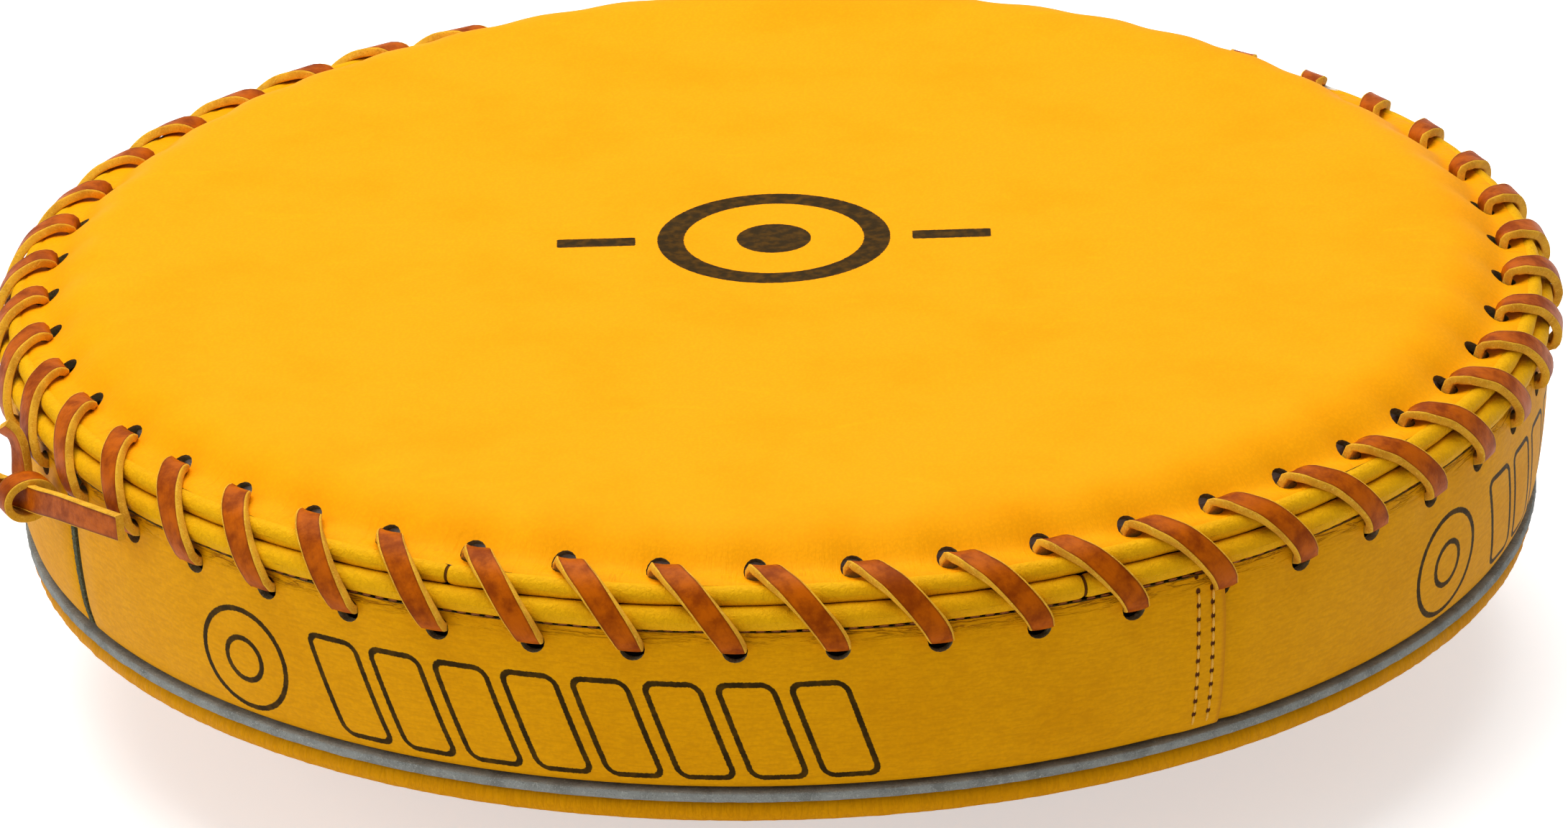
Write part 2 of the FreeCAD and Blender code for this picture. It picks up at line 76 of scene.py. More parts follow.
# ------------------------------------------------------------------------------------------------
# Layout: the sizes that pieces share
# ------------------------------------------------------------------------------------------------
@dataclass(frozen=True)
class Layout:
    """Driving dimensions that more than one piece uses, in millimetres and radians."""

    lace_count: int = 49
    first_hole: float = math.radians(99.04)
    side_lead: float = 0.79
    hole_circle: float = 176.0
    hole_radius: float = 3.0
    side_hole_height: float = 46.1
    knot_hole: int = 14
    face_roll: tuple[float, float] = (183.0, 58.6)
    band_roll: tuple[float, float] = (185.1, 53.7)
    leather: float = 2.6
    lace_width: float = 6.35
    lace_thickness: float = 2.2
    closing_seam: float = math.radians(205.5)
    lap_edges: tuple[float, ...] = (math.radians(303.4), math.radians(389.0), math.radians(477.0))
    lap_width: float = 10.0
    stitch_pitch: float = 3.6
    far_from: tuple[float, float] = (28.0, 48.0)
    far_to: tuple[float, float] = (98.0, 125.0)
    far_dip: float = 2.0
    allowance: float = 174.0
    welt_low: float = 6.1
    welt_high: float = 9.15

    @property
    def step(self) -> float:
        """Angle between two neighbouring lace holes."""
        return TURN / self.lace_count

    def nearest_hole(self, angle: float, lead: float = 0.0) -> tuple[int, float]:
        """Finds the lace hole nearest to an angle.

        Args:
            angle: Where to look, in radians.
            lead: The row's lead on the face holes, as a share of the pitch.

        Returns:
            The hole's number, and the angle from it.
        """
        turns = (angle - self.first_hole) / self.step - lead
        number = round(turns)
        return number % self.lace_count, (turns - number) * self.step

    def far_side(self, angle: float) -> float:
        """1 at the pad's far side, where the face stands over the lacing, down to 0 on its near half."""
        turn = math.degrees(angle) % 360.0
        return rise(turn, *self.far_from) * (1.0 - rise(turn, *self.far_to))

    def wander(self, angle: float) -> tuple[float, float]:
        """Small hand-made unevenness of the rolled edge: its radius and height errors at an angle."""
        x, y = 3.1 * math.cos(angle), 3.1 * math.sin(angle)
        return (0.32 * noise.noise(Vector((x, y, 4.0))), 0.30 * noise.noise(Vector((x, y, 9.0))))


LAYOUT = Layout()


def polar(radius: float, angle: float, height: float) -> Vector:
    """The point at a radius, an angle and a height."""
    return Vector((radius * math.cos(angle), radius * math.sin(angle), height))


def rise(value: float, low: float, high: float) -> float:
    """A smooth step from 0 at low to 1 at high."""
    share = min(max((value - low) / (high - low), 0.0), 1.0)
    return share * share * (3.0 - 2.0 * share)


def bump(distance: float, width: float) -> float:
    """A soft bell, 1 at no distance."""
    return math.exp(-(distance / width) ** 2)


def waver(salt: float, *place: float) -> float:
    """Smooth seeded noise from -1 to 1."""
    x, y, z = (list(place) + [0.0, 0.0])[:3]
    return noise.noise(Vector((x + salt * 17.31, y - salt * 5.77, z + salt * 9.13)))


def catmull(points: Sequence[tuple[float, ...]], position: float, closed: bool) -> tuple[float, ...]:
    """A smooth curve through points.

    Args:
        points: Points of any dimension.
        position: Where on the curve, counted in points from the first.
        closed: Whether the last point joins the first.

    Returns:
        The curve's point there.
    """
    count = len(points)
    index = math.floor(position)
    if not closed:
        index = min(max(index, 0), count - 2)
    t = position - index
    if closed:
        a, b, c, d = (points[(index + k) % count] for k in (-1, 0, 1, 2))
    else:
        a, b, c, d = (points[min(max(index + k, 0), count - 1)] for k in (-1, 0, 1, 2))
    return tuple(
        0.5 * (2 * q + (r - p) * t + (2 * p - 5 * q + 4 * r - s) * t * t + (3 * q - p - 3 * r + s) * t ** 3)
        for p, q, r, s in zip(a, b, c, d))


class Outline:
    """A smooth (radius, height) outline through a few points, that can be asked by either one."""

    def __init__(self, points: Sequence[tuple[float, float]], samples: int = 40) -> None:
        """Samples the curve.

        Args:
            points: (radius, height) pairs, in order.
            samples: Samples between two points.
        """
        total = (len(points) - 1) * samples
        self.samples = [catmull(points, k / samples, False) for k in range(total + 1)]
        self.found: dict[tuple[float, int], float] = {}

    def _ask(self, value: float, known: int) -> float:
        """The other number where the known one (0 radius, 1 height) has a value."""
        if (value, known) not in self.found:
            self.found[(value, known)] = self._search(value, known)
        return self.found[(value, known)]

    def _search(self, value: float, known: int) -> float:
        """Works the answer out along the samples."""
        for a, b in zip(self.samples, self.samples[1:]):
            low, high = sorted((a[known], b[known]))
            if low <= value <= high and high > low:
                share = (value - a[known]) / (b[known] - a[known])
                return a[1 - known] + share * (b[1 - known] - a[1 - known])
        ends = sorted((self.samples[0], self.samples[-1]), key=lambda p: abs(p[known] - value))
        return ends[0][1 - known]

    def height(self, radius: float) -> float:
        """Height of the outline at a radius."""
        return self._ask(radius, 0)

    def radius(self, height: float) -> float:
        """Radius of the outline at a height."""
        return self._ask(height, 1)


# ------------------------------------------------------------------------------------------------
# Mesh kit
# ------------------------------------------------------------------------------------------------
@dataclass
class Sheet:
    """A mapped grid and its lattice of vertices, by column and row."""

    bm: bmesh.types.BMesh
    lattice: dict[tuple[int, int], bmesh.types.BMVert]
    columns: int
    rows: int


def lay_sheet(columns: int, rows: int, place: Place, uv: Place | None = None,
              flow: Place | None = None, slot_of: Callable[[float, float], int] | None = None,
              weight: Callable[[float, float], float] | None = None) -> Sheet:
    """Lays a grid over a surface.

    Args:
        columns: Faces along the first share.
        rows: Faces along the second share.
        place: Gives the point for two shares from 0 to 1.
        uv: Gives texture coordinates in metres for two shares.
        flow: Gives the coordinates that a directed pattern follows, in metres.
        slot_of: Gives a face's material slot for the shares of its middle.
        weight: Gives 1 where the sheet has its full thickness and 0 where it is pared.

    Returns:
        The sheet, still in millimetres.
    """
    bm = bmesh.new()
    bmesh.ops.create_grid(bm, x_segments=columns, y_segments=rows, size=0.5)
    uv_layer = bm.loops.layers.uv.new("UVMap")
    flow_layer = bm.verts.layers.float_vector.new("flow")
    weights = bm.verts.layers.deform.new() if weight else None
    for face in bm.faces:
        face.smooth = True
        if slot_of:
            middle = face.calc_center_median()
            face.material_index = slot_of(middle.x + 0.5, middle.y + 0.5)
        for loop in face.loops:
            u, v = loop.vert.co.x + 0.5, loop.vert.co.y + 0.5
            loop[uv_layer].uv = (uv(u, v) if uv else (u, v))[:2]
    lattice = {}
    for vert in bm.verts:
        u, v = vert.co.x + 0.5, vert.co.y + 0.5
        lattice[(round(u * columns), round(v * rows))] = vert
        vert.co = place(u, v)
        vert[flow_layer] = flow(u, v) if flow else vert.co * MM
        if weight:
            vert[weights][0] = weight(u, v)
    return Sheet(bm, lattice, columns, rows)


def punch_hole(sheet: Sheet, column: int, row: int, rim: Callable[[float], Vector]) -> None:
    """Opens a round hole in a sheet: the faces round one lattice point go, and the rim turns round.

    Args:
        sheet: The sheet to open.
        column: The lattice point's column.
        row: The lattice point's row.
        rim: Gives the rim's point for an angle in the sheet.
    """
    reach = 2
    inner = [sheet.lattice[(column + i, row + j)]
             for i in range(1 - reach, reach) for j in range(1 - reach, reach)]
    corners = [(reach, 0), (reach, reach), (0, reach), (-reach, reach),
               (-reach, 0), (-reach, -reach), (0, -reach), (reach, -reach)]
    around = []
    for (i0, j0), (i1, j1) in zip(corners, corners[1:] + corners[:1]):
        around += [(i0 + (i1 - i0) * k // reach, j0 + (j1 - j0) * k // reach) for k in range(reach)]
    bmesh.ops.delete(sheet.bm, geom=inner, context="VERTS")
    for k, (i, j) in enumerate(around):
        sheet.lattice[(column + i, row + j)].co = rim(TURN * k / len(around))


def turn_outward(bm: bmesh.types.BMesh, centre: Vector) -> None:
    """Turns the faces so that most of an open sheet looks away from a point."""
    vote = sum(face.normal.dot(face.calc_center_median() - centre) * face.calc_area() for face in bm.faces)
    if vote < 0:
        bmesh.ops.reverse_faces(bm, faces=bm.faces)


def make_piece(name: str, bm: bmesh.types.BMesh, materials: Sequence[bpy.types.Material],
               nodes: Sequence[str] = (), inside: Vector | None = None, weld: float = 0.01) -> bpy.types.Object:
    """Finishes a mesh in metres and puts it on the frame.

    Args:
        name: The piece's name.
        bm: Its mesh in millimetres, which is freed.
        materials: Its material slots.
        nodes: CAD nodes that it stands for.
        inside: A point behind an open sheet; a closed shape needs none.
        weld: Vertices nearer than this are merged.

    Returns:
        The piece.
    """
    bmesh.ops.remove_doubles(bm, verts=bm.verts, dist=weld)
    bmesh.ops.dissolve_degenerate(bm, dist=weld * 0.1, edges=bm.edges)
    bmesh.ops.recalc_face_normals(bm, faces=bm.faces)
    if inside is not None:
        bm.normal_update()
        turn_outward(bm, inside)
    for edge in bm.edges:
        edge.smooth = not edge.is_boundary and edge.calc_face_angle(0.0) < math.radians(55)
    bmesh.ops.scale(bm, vec=(MM, MM, MM), verts=bm.verts)
    mesh = bpy.data.meshes.new(name)
    bm.to_mesh(mesh)
    bm.free()
    for material in materials:
        mesh.materials.append(material)
    piece = bpy.data.objects.new(name, mesh)
    bpy.context.scene.collection.objects.link(piece)
    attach(piece, "root")
    if nodes:
        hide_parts(*nodes)
    log.info("%s: %d faces", name, len(mesh.polygons))
    return piece


def thicken(piece: bpy.types.Object, thickness: float, pared: float | None = None) -> None:
    """Gives a sheet its leather's thickness, inward, with its cut edges in the next material slot.

    Args:
        piece: The sheet.
        thickness: Its full thickness in millimetres.
        pared: The share of it left where the sheet's weight is 0.
    """
    wall = piece.modifiers.new("Leather thickness", "SOLIDIFY")
    wall.thickness = thickness * MM
    wall.offset = -1.0
    wall.use_even_offset = True
    wall.material_offset_rim = 1
    if pared is not None:
        wall.vertex_group = piece.vertex_groups.new(name="full_thickness").name
        wall.thickness_vertex_group = pared


def rounded_section(width: float, thickness: float, corner: float, across: int = 4,
                    crown: float = 0.0) -> list[tuple[float, float]]:
    """Outline of a strap or a lace, from its outer face's left end round to the start.

    Args:
        width: Full width.
        thickness: Full thickness.
        corner: Radius of its corners.
        across: Segments across each flat face.
        crown: How far the outer face swells.

    Returns:
        (across, outward) pairs. Each corner has two segments and each side two.
    """
    a, b = width / 2 - corner, thickness / 2 - corner
    outer = [(-a + 2 * a * k / across, b + corner + crown * (1 - (2 * k / across - 1) ** 2))
             for k in range(across + 1)]
    half = math.sqrt(0.5) * corner
    right = [(a + half, b + half), (a + corner, b), (a + corner, 0.0), (a + corner, -b), (a + half, -b - half)]
    inner = [(a - 2 * a * k / across, -b - corner) for k in range(across + 1)]
    left = [(-x, -y) for x, y in right]
    return outer + right + inner + left


class StripFace(Enum):
    """The kinds of surface round a strip's section."""

    GRAIN = 0
    CUT = 1
    FLESH = 2


def strip_face(index: int, across: int) -> int:
    """Material slot of the section's segment: grain outside, flesh inside, cut edges between."""
    if index < across:
        return StripFace.GRAIN.value
    if across + 6 <= index < 2 * across + 6:
        return StripFace.FLESH.value
    return StripFace.CUT.value


def lay_strip(stations: int, centre: Callable[[float], Vector], outward: Callable[[float], Vector],
              section: Callable[[float], list[tuple[float, float]]], across: int,
              length: float) -> Sheet:
    """Sweeps a flat strip's section along a path.

    Args:
        stations: Steps along the path.
        centre: Gives the path's point for a share of it.
        outward: Gives the direction that the grain side faces there.
        section: Gives the outline there, always with the same count.
        across: Segments across each flat face.
        length: The strip's length in millimetres, for its texture coordinates.

    Returns:
        The strip with open ends.
    """
    count = len(section(0.0))
    spacing = 0.25 / stations
    frames = []
    for k in range(stations + 1):
        share = k / stations
        ahead = (centre(min(share + spacing, 1.0)) - centre(max(share - spacing, 0.0))).normalized()
        side = ahead.cross(outward(share)).normalized()
        frames.append((centre(share), side, side.cross(ahead).normalized(), section(share)))

    def place(u: float, v: float) -> Vector:
        middle, side, out, outline = frames[round(u * stations)]
        x, y = outline[round(v * count) % count]
        return middle + side * x + out * y

    def uv(u: float, v: float) -> Vector:
        x, y = frames[round(u * stations)][3][round(v * count) % count]
        return Vector((u * length * MM, x * MM, y * MM))

    return lay_sheet(stations, count, place, uv,
                     slot_of=lambda u, v: strip_face(int(v * count), across))


def close_ends(bm: bmesh.types.BMesh, slot: int) -> None:
    """Welds a strip's long seam and closes its two open ends with a material slot."""
    bmesh.ops.remove_doubles(bm, verts=bm.verts, dist=0.005)
    rims = [edge for edge in bm.edges if edge.is_boundary]
    for face in bmesh.ops.holes_fill(bm, edges=rims, sides=0)["faces"]:
        face.material_index = slot
        face.smooth = False


# ------------------------------------------------------------------------------------------------
# Shader kit
# ------------------------------------------------------------------------------------------------
Socket = bpy.types.NodeSocket
Layers = tuple[Socket, Socket, Socket]  # colour, height and roughness, as one layer hands them to the next


class Graph:
    """A node tree that is being wired, with one short call for each kind of node in use."""

    def __init__(self, tree: bpy.types.NodeTree) -> None:
        """Keeps the tree."""
        self.tree = tree

    def add(self, kind: str, inputs: dict[str | int, object] | None = None, **settings: object) -> bpy.types.Node:
        """Adds a node.

        Args:
            kind: The node's type without its ShaderNode start.
            inputs: Values or sockets for its inputs, by name or number.
            settings: Its own properties.

        Returns:
            The node.
        """
        node = self.tree.nodes.new("ShaderNode" + kind)
        for key, value in settings.items():
            setattr(node, key, value)
        for key, value in (inputs or {}).items():
            self.feed(node.inputs[key], value)
        return node

    def feed(self, socket: Socket, value: object) -> None:
        """Links a socket to another, or sets its value."""
        if isinstance(value, bpy.types.NodeSocket):
            self.tree.links.new(value, socket)
        elif isinstance(value, tuple) and len(value) == 3 and socket.type == "RGBA":
            socket.default_value = (*value, 1.0)
        else:
            socket.default_value = value

    def math(self, operation: str, *values: object, clamp: bool = False) -> Socket:
        """One Math node."""
        node = self.add("Math", dict(enumerate(values)), operation=operation, use_clamp=clamp)
        return node.outputs[0]

    def span(self, value: object, low: object, high: object, to_low: float = 0.0, to_high: float = 1.0) -> Socket:
        """A smooth step: low gives to_low, high gives to_high."""
        node = self.add("MapRange", {"Value": value, "From Min": low, "From Max": high,
                                     "To Min": to_low, "To Max": to_high}, interpolation_type="SMOOTHSTEP")
        return node.outputs["Result"]

    def blend(self, factor: object, a: object, b: object, mode: str = "MIX") -> Socket:
        """A colour between two."""
        node = self.add("Mix", data_type="RGBA", blend_type=mode)
        self.feed(node.inputs["Factor"], factor)
        self.feed(node.inputs[6], a)
        self.feed(node.inputs[7], b)
        return node.outputs[2]

    def noise(self, vector: object, size: float, detail: float = 3.0, roughness: float = 0.55,
              distortion: float = 0.0) -> Socket:
        """Noise whose marks are about that many millimetres across."""
        node = self.add("TexNoise", {"Vector": vector, "Scale": 1.0 / (size * MM), "Detail": detail,
                                     "Roughness": roughness, "Distortion": distortion})
        return node.outputs["Fac"]

    def stretched(self, vector: object, scale: RGB) -> Socket:
        """Coordinates scaled by axis."""
        return self.add("Mapping", {"Vector": vector, "Scale": scale}, vector_type="POINT").outputs[0]


class Groups:
    """Shader node groups that several finishes share, each built the first time it is asked for."""

    _made: dict[str, bpy.types.NodeTree] = {}

    @classmethod
    def get(cls, name: str) -> bpy.types.NodeTree:
        """The group of that name."""
        if name not in cls._made:
            cls._made[name] = getattr(cls, "_" + name)()
        return cls._made[name]

    @staticmethod
    def _start(name: str, inputs: dict[str, tuple[str, object]], outputs: Sequence[str]) -> tuple:
        """A new group with its sockets.

        Args:
            name: The group's name.
            inputs: (socket kind, default) by name; kinds are Vector and Float.
            outputs: Names of its outputs, all floats.

        Returns:
            The tree, its graph, the input node and the output node.
        """
        tree = bpy.data.node_groups.new(name, "ShaderNodeTree")
        for label, (kind, default) in inputs.items():
            socket = tree.interface.new_socket(label, in_out="INPUT", socket_type="NodeSocket" + kind)
            if default is not None:
                socket.default_value = default
        for label in outputs:
            tree.interface.new_socket(label, in_out="OUTPUT", socket_type="NodeSocketFloat")
        graph = Graph(tree)
        return tree, graph, tree.nodes.new("NodeGroupInput"), tree.nodes.new("NodeGroupOutput")

    @classmethod
    def _leather_grain(cls) -> bpy.types.NodeTree:
        """Pebbled grain: small soft cells with pores between them, on a finer noise."""
        tree, graph, given, out = cls._start(
            "leather_grain", {"Vector": ("Vector", None), "Cell scale": ("Float", 900.0)}, ("Height", "Pores"))
        bent = graph.add("TexNoise", {"Vector": given.outputs["Vector"], "Scale": 260.0, "Detail": 2.0})
        shift = graph.add("VectorMath", {0: bent.outputs["Color"], "Scale": 0.0016}, operation="SCALE")
        vector = graph.add("VectorMath", {0: given.outputs["Vector"], 1: shift.outputs[0]}, operation="ADD")
        cells = graph.add("TexVoronoi", {"Vector": vector.outputs[0], "Scale": given.outputs["Cell scale"],
                                         "Smoothness": 0.35}, feature="SMOOTH_F1")
        fine_scale = graph.math("MULTIPLY", given.outputs["Cell scale"], 2.4)
        fine = graph.add("TexNoise", {"Vector": given.outputs["Vector"], "Scale": fine_scale, "Detail": 3.0})
        pores = graph.span(cells.outputs["Distance"], 0.30, 0.62)
        dome = graph.math("SUBTRACT", 1.0, cells.outputs["Distance"])
        small = graph.math("MULTIPLY", fine.outputs["Fac"], 0.5)
        height = graph.math("ADD", graph.math("MULTIPLY", dome, 0.7), small)
        graph.feed(out.inputs["Height"], height)
        graph.feed(out.inputs["Pores"], pores)
        return tree

    @classmethod
    def _creases(cls) -> bpy.types.NodeTree:
        """Fine creases: thin valleys where a noise crosses its middle value."""
        tree, graph, given, out = cls._start(
            "creases", {"Vector": ("Vector", None), "Scale": ("Float", 300.0), "Sharpness": ("Float", 9.0)},
            ("Height", "Lines"))
        body = graph.add("TexNoise", {"Vector": given.outputs["Vector"], "Scale": given.outputs["Scale"],
                                      "Detail": 4.0, "Roughness": 0.6, "Distortion": 0.4})
        off_middle = graph.math("ABSOLUTE", graph.math("SUBTRACT", body.outputs["Fac"], 0.5))
        ridge = graph.math("MULTIPLY", off_middle, given.outputs["Sharpness"], clamp=True)
        graph.feed(out.inputs["Height"], ridge)
        # Lines is 1 in the valleys; the leathers darken them with it as painted shade.
        graph.feed(out.inputs["Lines"], graph.math("SUBTRACT", 1.0, ridge))
        return tree

    @classmethod
    def _fibres(cls) -> bpy.types.NodeTree:
        """The frayed look of cut leather: short fibres and small pits."""
        tree, graph, given, out = cls._start(
            "fibres", {"Vector": ("Vector", None), "Scale": ("Float", 700.0)}, ("Height", "Light", "Pits"))
        coarse = graph.add("TexNoise", {"Vector": given.outputs["Vector"], "Scale": given.outputs["Scale"],
                                        "Detail": 5.0, "Roughness": 0.72, "Distortion": 1.4})
        pit_scale = graph.math("MULTIPLY", given.outputs["Scale"], 1.3)
        pits = graph.add("TexVoronoi", {"Vector": given.outputs["Vector"], "Scale": pit_scale}, feature="F1")
        graph.feed(out.inputs["Height"], coarse.outputs["Fac"])
        graph.feed(out.inputs["Light"], graph.span(coarse.outputs["Fac"], 0.50, 0.68))
        graph.feed(out.inputs["Pits"], graph.span(pits.outputs["Distance"], 0.30, 0.08))
        return tree

    @classmethod
    def _box_mark(cls) -> bpy.types.NodeTree:
        """Signed distance to a round-cornered box, for printed marks."""
        tree, graph, given, out = cls._start(
            "box_mark", {"X": ("Float", 0.0), "Y": ("Float", 0.0), "Half width": ("Float", 0.01),
                         "Half height": ("Float", 0.01), "Corner": ("Float", 0.001)}, ("Distance",))
        corner = given.outputs["Corner"]
        over = []
        for axis, half in (("X", "Half width"), ("Y", "Half height")):
            inset = graph.math("SUBTRACT", given.outputs[half], corner)
            over.append(graph.math("SUBTRACT", graph.math("ABSOLUTE", given.outputs[axis]), inset))
        squares = [graph.math("POWER", graph.math("MAXIMUM", q, 0.0), 2.0) for q in over]
        far = graph.math("SQRT", graph.math("ADD", *squares))
        near = graph.math("MINIMUM", graph.math("MAXIMUM", *over), 0.0)
        graph.feed(out.inputs["Distance"], graph.math("SUBTRACT", graph.math("ADD", far, near), corner))
        return tree

    @classmethod
    def _needle_holes(cls) -> bpy.types.NodeTree:
        """A row of small oval needle holes along Y, at X = 0."""
        tree, graph, given, out = cls._start(
            "needle_holes", {"X": ("Float", 0.0), "Y": ("Float", 0.0), "Pitch": ("Float", 0.0036)}, ("Mask",))
        wrapped = graph.math("WRAP", given.outputs["Y"], graph.math("MULTIPLY", given.outputs["Pitch"], 0.5),
                             graph.math("MULTIPLY", given.outputs["Pitch"], -0.5))
        x = graph.math("DIVIDE", given.outputs["X"], 0.62 * MM)
        y = graph.math("DIVIDE", wrapped, 0.80 * MM)
        far = graph.math("SQRT", graph.math("ADD", graph.math("POWER", x, 2.0), graph.math("POWER", y, 2.0)))
        graph.feed(out.inputs["Mask"], graph.span(far, 1.15, 0.65))
        return tree


def place_group(graph: Graph, name: str, **inputs: object) -> bpy.types.Node:
    """Places a shared group in a material; underscores in the input names stand for spaces."""
    node = graph.add("Group")
    node.node_tree = Groups.get(name)
    for key, value in inputs.items():
        graph.feed(node.inputs[key.replace("_", " ")], value)
    return node


def new_material(name: str) -> tuple[bpy.types.Material, Graph, bpy.types.Node]:
    """A new material with its graph and its Principled BSDF."""
    material = bpy.data.materials.new(name)
    material.use_nodes = True
    graph = Graph(material.node_tree)
    return material, graph, material.node_tree.nodes["Principled BSDF"]


def set_bump(graph: Graph, shader: bpy.types.Node, height: Socket, depth: float) -> None:
    """Feeds a height of 0 to 1, worth that many millimetres, to a shader's normal."""
    relief = graph.add("Bump", {"Strength": 1.0, "Distance": depth * MM, "Height": height})
    graph.feed(shader.inputs["Normal"], relief.outputs[0])


class Marking(Enum):
    """What a leather carries on top of its grain."""

    PLAIN = "plain"
    FACE = "face"
    BAND = "band"
    ROLL = "roll"
    FOLD = "fold"


@dataclass(frozen=True)
class Leather:
    """Full-grain leather, dyed through, with creases where it is pulled and painted shade in them."""

    name: str
    colour: RGB = (0.95, 0.372, 0.0010)
    cloud: RGB = (0.93, 0.345, 0.0008)
    # Dark tone for the grain's pores and streaks, and painted shade for the creases.
    grain_and_crease_shade: RGB = (0.34, 0.105, 0.002)
    roughness: float = 0.58
    grain_size: float = 0.95
    grain_depth: float = 0.05
    marking: Marking = Marking.PLAIN
    marks: tuple[float, float] = (0.0, 0.0)
    joint: float | None = None

    def material(self) -> bpy.types.Material:
        """Builds the material.

        Returns:
            The material.
        """
        material, graph, shader = new_material(self.name)
        coords = graph.add("TexCoord")
        place = coords.outputs["Object"]
        grain = place_group(graph, "leather_grain", Vector=place, Cell_scale=1.0 / (self.grain_size * MM))
        clouds = graph.noise(place, 34.0, detail=4.0, roughness=0.6)
        veins = graph.noise(graph.stretched(place, (1.0, 2.2, 1.0)), 21.0, detail=5.0, distortion=1.5)
        colour = graph.blend(graph.span(clouds, 0.42, 0.72), self.colour, self.cloud)
        vein = graph.math("MULTIPLY", graph.span(veins, 0.60, 0.72), 0.35)
        light = tuple(min(1.0, c * 1.06 + 0.02 * (k == 1)) for k, c in enumerate(self.colour))
        colour = graph.blend(vein, colour, light)
        colour = graph.blend(graph.math("MULTIPLY", grain.outputs["Pores"], 0.08), colour, self.grain_and_crease_shade)
        height = graph.math("MULTIPLY", grain.outputs["Height"], self.grain_depth)
        rough = graph.span(clouds, 0.3, 0.75, self.roughness - 0.04, self.roughness + 0.06)
        add = getattr(self, "_" + self.marking.value)
        colour, height, rough = add(graph, coords, colour, height, rough)
        graph.feed(shader.inputs["Base Color"], colour)
        graph.feed(shader.inputs["Roughness"], rough)
        shader.inputs["Specular IOR Level"].default_value = 0.09
        shader.inputs["Specular Tint"].default_value = (1.0, 0.72, 0.22, 1.0)
        set_bump(graph, shader, height, 1.0)
        return material

    def _plain(self, graph: Graph, coords: bpy.types.Node, colour: Socket, height: Socket,
               rough: Socket) -> Layers:
        """Nothing more."""
        return colour, height, rough

    def _face(self, graph: Graph, coords: bpy.types.Node, colour: Socket, height: Socket,
              rough: Socket) -> Layers:
        """Creases that run in from the lace holes, with painted shade in them, and a printed target in the middle."""
        flow = graph.add("Attribute", attribute_name="flow").outputs["Vector"]
        uv = graph.add("UVMap", uv_map="UVMap").outputs[0]
        radius = graph.add("SeparateXYZ", {0: uv}).outputs[1]
        pull = place_group(graph, "creases", Vector=flow, Scale=330.0, Sharpness=8.0)
        patches = graph.span(graph.noise(coords.outputs["Object"], 9.0), 0.42, 0.66)
        edge = graph.span(radius, 0.166, 0.179)
        near = graph.math("MULTIPLY", edge, patches)
        crease_shade_lines = graph.math("MULTIPLY", pull.outputs["Lines"], near)
        # Painted shade: the crease lines near the lace holes are darkened.
        colour = graph.blend(graph.span(crease_shade_lines, 0.70, 1.0, 0.0, 0.22), colour, self.grain_and_crease_shade)
        dent = graph.math("MULTIPLY", pull.outputs["Height"], graph.math("MULTIPLY", edge, 0.09))
        height = graph.math("ADD", height, dent)
        return (*self._target(graph, coords, colour, height), rough)

    def _target(self, graph: Graph, coords: bpy.types.Node, colour: Socket,
                height: Socket) -> tuple[Socket, Socket]:
        """A plain dot, ring and cross bars, printed dark in the middle of the face."""
        split = graph.add("SeparateXYZ", {0: coords.outputs["Object"]})
        x, y = split.outputs[0], graph.math("SUBTRACT", split.outputs[1], 4.0 * MM)
        squares = [graph.math("POWER", value, 2.0) for value in (x, y)]
        far = graph.math("SQRT", graph.math("ADD", *squares))
        off_ring = graph.math("SUBTRACT", graph.math("ABSOLUTE", graph.math("SUBTRACT", far, 25.0 * MM)), 3.2 * MM)
        off_dot = graph.math("SUBTRACT", far, 9.0 * MM)
        side = graph.math("SUBTRACT", graph.math("ABSOLUTE", x), 43.0 * MM)
        bars = place_group(graph, "box_mark", X=side, Y=y, Half_width=9.5 * MM, Half_height=2.6 * MM,
                           Corner=0.6 * MM)
        nearest = graph.math("MINIMUM", graph.math("MINIMUM", off_ring, off_dot), bars.outputs[0])
        return self._print(graph, coords, colour, height, nearest)

    def _print(self, graph: Graph, coords: bpy.types.Node, colour: Socket, height: Socket,
               distance: Socket) -> tuple[Socket, Socket]:
        """Dark ink where a distance is under nothing, a little broken by the grain."""
        ragged = graph.math("MULTIPLY", graph.math("SUBTRACT", graph.noise(coords.outputs["Object"], 0.6), 0.5),
                            0.5 * MM)
        inked = graph.span(graph.math("ADD", distance, ragged), 0.10 * MM, -0.10 * MM)
        patchy = graph.span(graph.noise(coords.outputs["Object"], 2.6, detail=4.0), 0.30, 0.62, 0.93, 0.99)
        cover = graph.math("MULTIPLY", inked, patchy)
        return graph.blend(cover, colour, (0.022, 0.012, 0.003)), height

    def _band(self, graph: Graph, coords: bpy.types.Node, colour: Socket, height: Socket,
              rough: Socket) -> Layers:
        """Fine level grain, creases under the roll with painted shade in them, printed marks, and needle holes for
        the stitches along a lap, with painted shade in the holes.
        """
        place = coords.outputs["Object"]
        uv = graph.add("SeparateXYZ", {0: graph.add("UVMap", uv_map="UVMap").outputs[0]})
        along, up = uv.outputs[0], uv.outputs[1]
        level = graph.stretched(place, (0.22, 0.22, 1.0))
        streaks = graph.noise(level, 0.75, detail=4.0, roughness=0.62, distortion=0.3)
        height = graph.math("ADD", height, graph.math("MULTIPLY", streaks, 0.13))
        colour = graph.blend(graph.span(streaks, 0.62, 0.36, 0.0, 0.16), colour, self.grain_and_crease_shade)
        pull = place_group(graph, "creases", Vector=graph.stretched(place, (0.13, 0.13, 1.0)), Scale=560.0,
                           Sharpness=16.0)
        patches = graph.span(graph.noise(graph.stretched(place, (1.0, 1.0, 0.4)), 11.0), 0.36, 0.60, 0.45, 1.0)
        top = graph.span(up, 46.3 * MM, 49.6 * MM)
        crease_shade_lines = graph.math("MULTIPLY", pull.outputs["Lines"], graph.math("MULTIPLY", top, patches))
